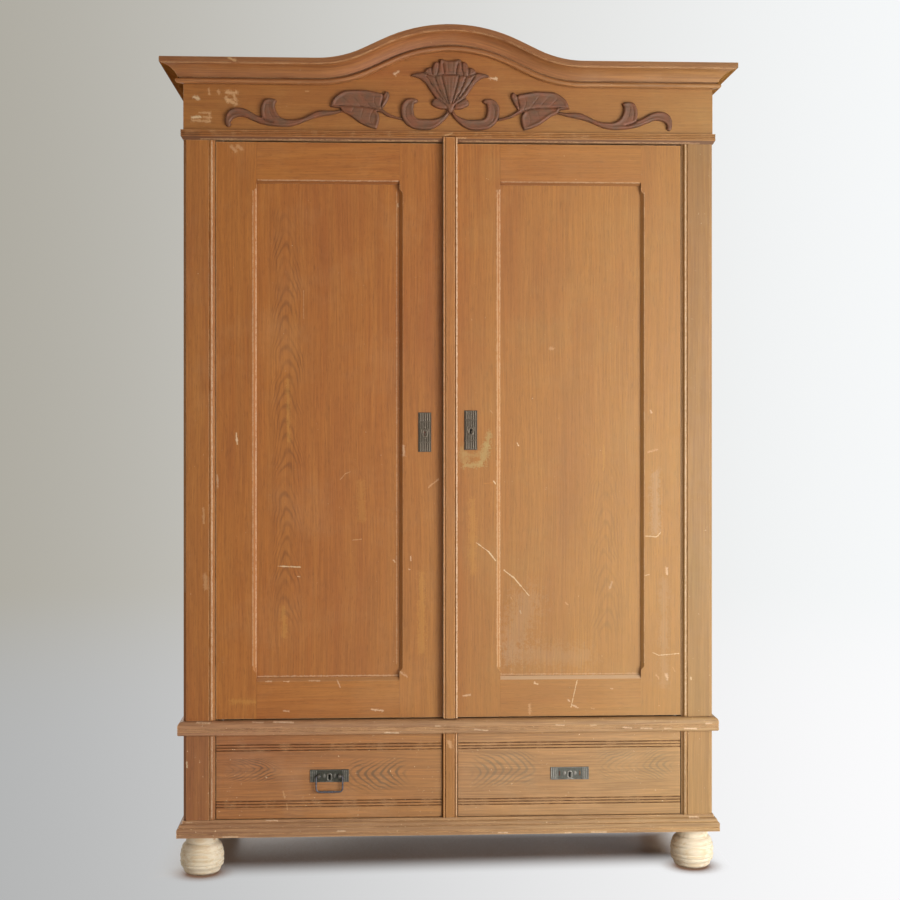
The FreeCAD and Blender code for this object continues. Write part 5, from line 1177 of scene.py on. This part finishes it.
def carve(name, node, form, way=1, symmetrical=False, hollow=0):  # way: 1 right, -1 left
    def place(u, v, side=way):
        return (side * (form["start"] + u * form["length"]),
                ornament["base"] + form["rise"] + v * form["height"])

    outline = closedOutline(form["outline"], place)
    if symmetrical:
        half = np.vstack([outline, [place(*form["outline"][-1][-1])]])
        outline = np.vstack([half, half[::-1][1:-1] * (-1, 1)])
    sides = (way, -way) if symmetrical else (way,)
    lines = {kind: [alongCurve([place(u, v, side) for u, v in run]) for run in form[kind]
                    for side in sides] for kind in ("cuts", "veins")}

    def height(spots, edge):
        stand = ornament["rim"] + (1 - ornament["rim"]) * pillow(edge, ornament["round"])
        if lines["cuts"]:
            near = pillow(distanceTo(spots, lines["cuts"]), ornament["cutWidth"])
            stand *= 1 - ornament["cut"] + ornament["cut"] * near
        if lines["veins"]:
            near = pillow(distanceTo(spots, lines["veins"]), ornament["veinWidth"])
            stand -= ornament["vein"] * (1 - near)
        dish = np.clip((edge - ornament["dishFrom"]) / ornament["dishWidth"], 0, 1)
        return stand - hollow * dish * dish * (3 - 2 * dish)

    shape = reliefMesh(outline, [], ornament["back"], ornament["depth"], height, ornament["step"])
    made = newPiece(name, shape, carvedStain, creased=True)
    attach(made, "root")
    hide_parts(node)


carve("carved_flower_relief", "carved_flower", flower, symmetrical=True)
for side, way in (("left", -1), ("right", 1)):
    carve(f"carved_leaf_{side}", "carved_leaves", leaf, way, hollow=0.22)
    carve(f"inner_scroll_{side}", "carved_inner_scrolls", innerScroll, way, hollow=0.14)
    carve(f"outer_scroll_{side}", "carved_outer_scrolls", outerScroll, way, hollow=0.14)
print("carving cut")


# Cast plates, sizes in mm: a rim, fluted ends behind a bead, and bosses round the keyhole. A lobe
# is its place and half sizes. The relief's heights are shares of the plate's thickness
relief = {"field": 0.46, "flute": 0.40, "bead": 0.92, "beadWidth": 1.7, "lobe": 0.95, "rim": 0.84,
          "edge": 0.4, "edgeWidth": 0.8}
keyway = {"radius": 2.6, "slot": 1.5, "drop": 9.0, "ring": 5.2, "ringWidth": 2.2, "steps": 20}
doorPlate = {"long": 48.5, "wide": 16.0, "upright": True, "back": -248, "thick": 2.5, "rim": 1.8,
             "bead": 25.0, "fluted": 27.0, "pitch": 5.4, "rib": 0.30, "step": 1.0,
             "lobes": [(-8.4, 3, 1.8, 9), (8.4, 3, 1.8, 9), (0, -15, 3.2, 2.6), (0, 12, 2.2, 6)]}
drawerPlate = {"long": 47.5, "wide": 15.5, "upright": False, "back": -247, "thick": 2.5, "rim": 1.8,
               "bead": 32.5, "fluted": 34.5, "pitch": 4.6, "rib": 0.05, "step": 1.0,
               "lobes": [(-13, 0, 5, 7), (13, 0, 5, 7), (0, -13, 12, 1.6)]}
slots = {"out": 25.0, "width": 4.0, "height": 12.0}
ear = {"out": 25.3, "width": 6.0, "radius": 5.0, "y": -254.5, "z": 249, "root": -249.0,
       "groove": 0.5, "steps": 12,
       "stations": [(-1, 0.8), (-0.86, 0), (-0.45, 0), (-0.3, 1), (-0.15, 0), (0.15, 0), (0.3, 1),
                    (0.45, 0), (0.86, 0), (1, 0.8)]}
drawerHandle = {"out": 295.5, "z": 249}


def domed(away, radius):  # a half-round rise, 1 at 0 and 0 at the radius
    return np.sqrt(np.clip(1 - (away / radius) ** 2, 0, 1))


def keyholeAt(x, z):  # a round eye over a slot
    gap = math.asin(keyway["slot"] / keyway["radius"])
    steps = keyway["steps"]
    turn = [gap + (math.tau - 2 * gap) * i / steps - math.pi / 2 for i in range(steps + 1)]
    run = [(x + keyway["radius"] * math.cos(a), z + keyway["radius"] * math.sin(a)) for a in turn]
    low = z - keyway["drop"]
    return np.array(run + [(x - keyway["slot"], low), (x, low), (x + keyway["slot"], low)])


def castPlate(name, node, body, form, x, z, material, openings=()):
    half = (form["wide"], form["long"]) if form["upright"] else (form["long"], form["wide"])
    corners = [(-1, -1), (1, -1), (1, 1), (-1, 1), (-1, -1)]
    corners = [(x + a * half[0], z + b * half[1]) for a, b in corners]
    outline = closedOutline(zip(corners, corners[1:]), lambda u, v: (u, v), form["step"] * 1.5)

    def height(spots, edge):
        across, up = (spots - (x, z)).T
        along, aside = (abs(up), across) if form["upright"] else (abs(across), up)
        rim = np.minimum(form["long"] - along, form["wide"] - abs(aside))
        flute = abs(np.cos(math.pi * across / form["pitch"]))
        flute *= np.where(along > form["fluted"], relief["flute"], form["rib"])
        stand = relief["field"] + flute
        stand = np.maximum(stand, relief["bead"] * domed(along - form["bead"], relief["beadWidth"]))
        key = distanceTo(spots, [[(x, z), (x, z - keyway["drop"] + keyway["radius"])]])
        stand = np.maximum(stand, domed(key - keyway["ring"], keyway["ringWidth"]))
        for lobeX, lobeZ, lobeWide, lobeTall in form["lobes"]:
            away = np.hypot((across - lobeX) / lobeWide, (up - lobeZ) / lobeTall)
            stand = np.maximum(stand, relief["lobe"] * domed(away, 1))
        stand = np.where(rim < form["rim"], np.maximum(stand, relief["rim"]), stand)
        return stand * (1 - relief["edge"] + relief["edge"] * pillow(rim, relief["edgeWidth"]))

    shape = reliefMesh(outline, [keyholeAt(x, z), *openings], form["back"], form["thick"], height,
                       form["step"])
    piece = newPiece(name, shape, material, creased=True)
    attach(piece, body)
    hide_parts(node)


def boxAt(x, z, wide, tall):
    corners = ((-1, -1), (1, -1), (1, 1), (-1, 1))
    return np.array([(x + a * wide / 2, z + b * tall / 2) for a, b in corners])


castPlate("left_escutcheon", "left_door_escutcheon", "left_door", doorPlate,
          -62, 1090, doorPatina)
castPlate("right_escutcheon", "right_door_escutcheon", "right_door", doorPlate,
          51, 1095, doorPatina)
castPlate("left_bail_plate", "left_drawer_plate", "left_drawer", drawerPlate,
          -drawerHandle["out"], drawerHandle["z"], drawerPatina)
castPlate("right_bail_plate", "right_drawer_plate", "right_drawer", drawerPlate,
          drawerHandle["out"], drawerHandle["z"], palePatina,
          [boxAt(drawerHandle["out"] + way * slots["out"], drawerHandle["z"], slots["width"],
                 slots["height"]) for way in (-1, 1)])


def castEar(name, x):  # a bored knuckle with two grooves, its back in the plate
    shape = bmesh.new()
    rings = []
    for share, cut in ear["stations"]:
        radius = ear["radius"] - cut * ear["groove"]
        ring = [(ear["root"], ear["z"] - radius)]
        for i in range(ear["steps"] + 1):
            turn = math.pi * i / ear["steps"] - math.pi / 2
            ring.append((ear["y"] - radius * math.cos(turn), ear["z"] + radius * math.sin(turn)))
        ring.append((ear["root"], ear["z"] + radius))
        across = (x + share * ear["width"] / 2) * mm
        rings.append([shape.verts.new((across, y * mm, z * mm)) for y, z in ring])
    skin(shape, rings)
    bmesh.ops.recalc_face_normals(shape, faces=shape.faces)
    piece = newPiece(name, shape, drawerPatina, creased=True)
    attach(piece, "left_drawer")
    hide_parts("left_drawer_plate")


for side, way in (("left", -1), ("right", 1)):
    castEar(f"bail_ear_{side}", way * ear["out"] - drawerHandle["out"])

# The bail is one forged wire: thin at its pins, thicker along its crossbar, and with a ring at each
# side of the grip
bail = {"y": -254.5, "leg": 32.3, "pin": 21.3, "eye": 4.0, "drop": 37.8, "corner": 9.0, "wire": 2.2,
        "thin": 0.92, "swell": 0.5, "ringAt": 11.5, "ringHalf": 1.2, "ring": 0.7, "sides": 16}


def quarter(x, z, radius, start, count):  # a quarter turn, without its first point
    turns = [start + math.pi / 2 * i / count for i in range(1, count + 1)]
    return [np.array((x + radius * math.cos(a), z + radius * math.sin(a))) for a in turns]


def bailPath():
    leg, eye, drop, corner = bail["leg"], bail["eye"], bail["drop"], bail["corner"]
    run = alongCurve([(0, -drop), (leg - corner, -drop)], step=1.0)
    run += quarter(leg - corner, corner - drop, corner, -math.pi / 2, 12)
    run += alongCurve([(leg, corner - drop), (leg, -eye)], step=2.0)[1:]
    run += quarter(leg - eye, -eye, eye, 0, 8)
    run += alongCurve([(leg - eye, 0), (bail["pin"], 0)], step=2.0)[1:]
    return [p * (-1, 1) for p in run[:0:-1]] + run


def forgeBail():
    run = bailPath()
    shape = bmesh.new()
    rings = []
    for i, spot in enumerate(run):
        way = run[min(i + 1, len(run) - 1)] - run[max(i - 1, 0)]
        way = way / np.linalg.norm(way)
        out = np.array((-way[1], way[0]))
        radius = bail["wire"] * bail["thin"]
        if spot[1] < 1 - bail["drop"]:  # on the crossbar
            radius = bail["wire"] + bail["swell"] * max(0, 1 - (spot[0] / bail["ringAt"]) ** 2)
            if abs(abs(spot[0]) - bail["ringAt"]) < bail["ringHalf"]:
                radius += bail["ring"]
        ring = []
        for k in range(bail["sides"]):
            turn = math.tau * k / bail["sides"]
            x, z = spot + out * radius * math.cos(turn)
            y = bail["y"] + radius * math.sin(turn)
            ring.append(shape.verts.new(((x - drawerHandle["out"]) * mm, y * mm,
                                         (z + drawerHandle["z"]) * mm)))
        rings.append(ring)
    skin(shape, rings)
    bmesh.ops.recalc_face_normals(shape, faces=shape.faces)
    piece = newPiece("forged_bail", shape, bailIron)
    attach(piece, "left_drawer_bail")
    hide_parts("left_drawer_bail")


forgeBail()
print("plates and bail in place")
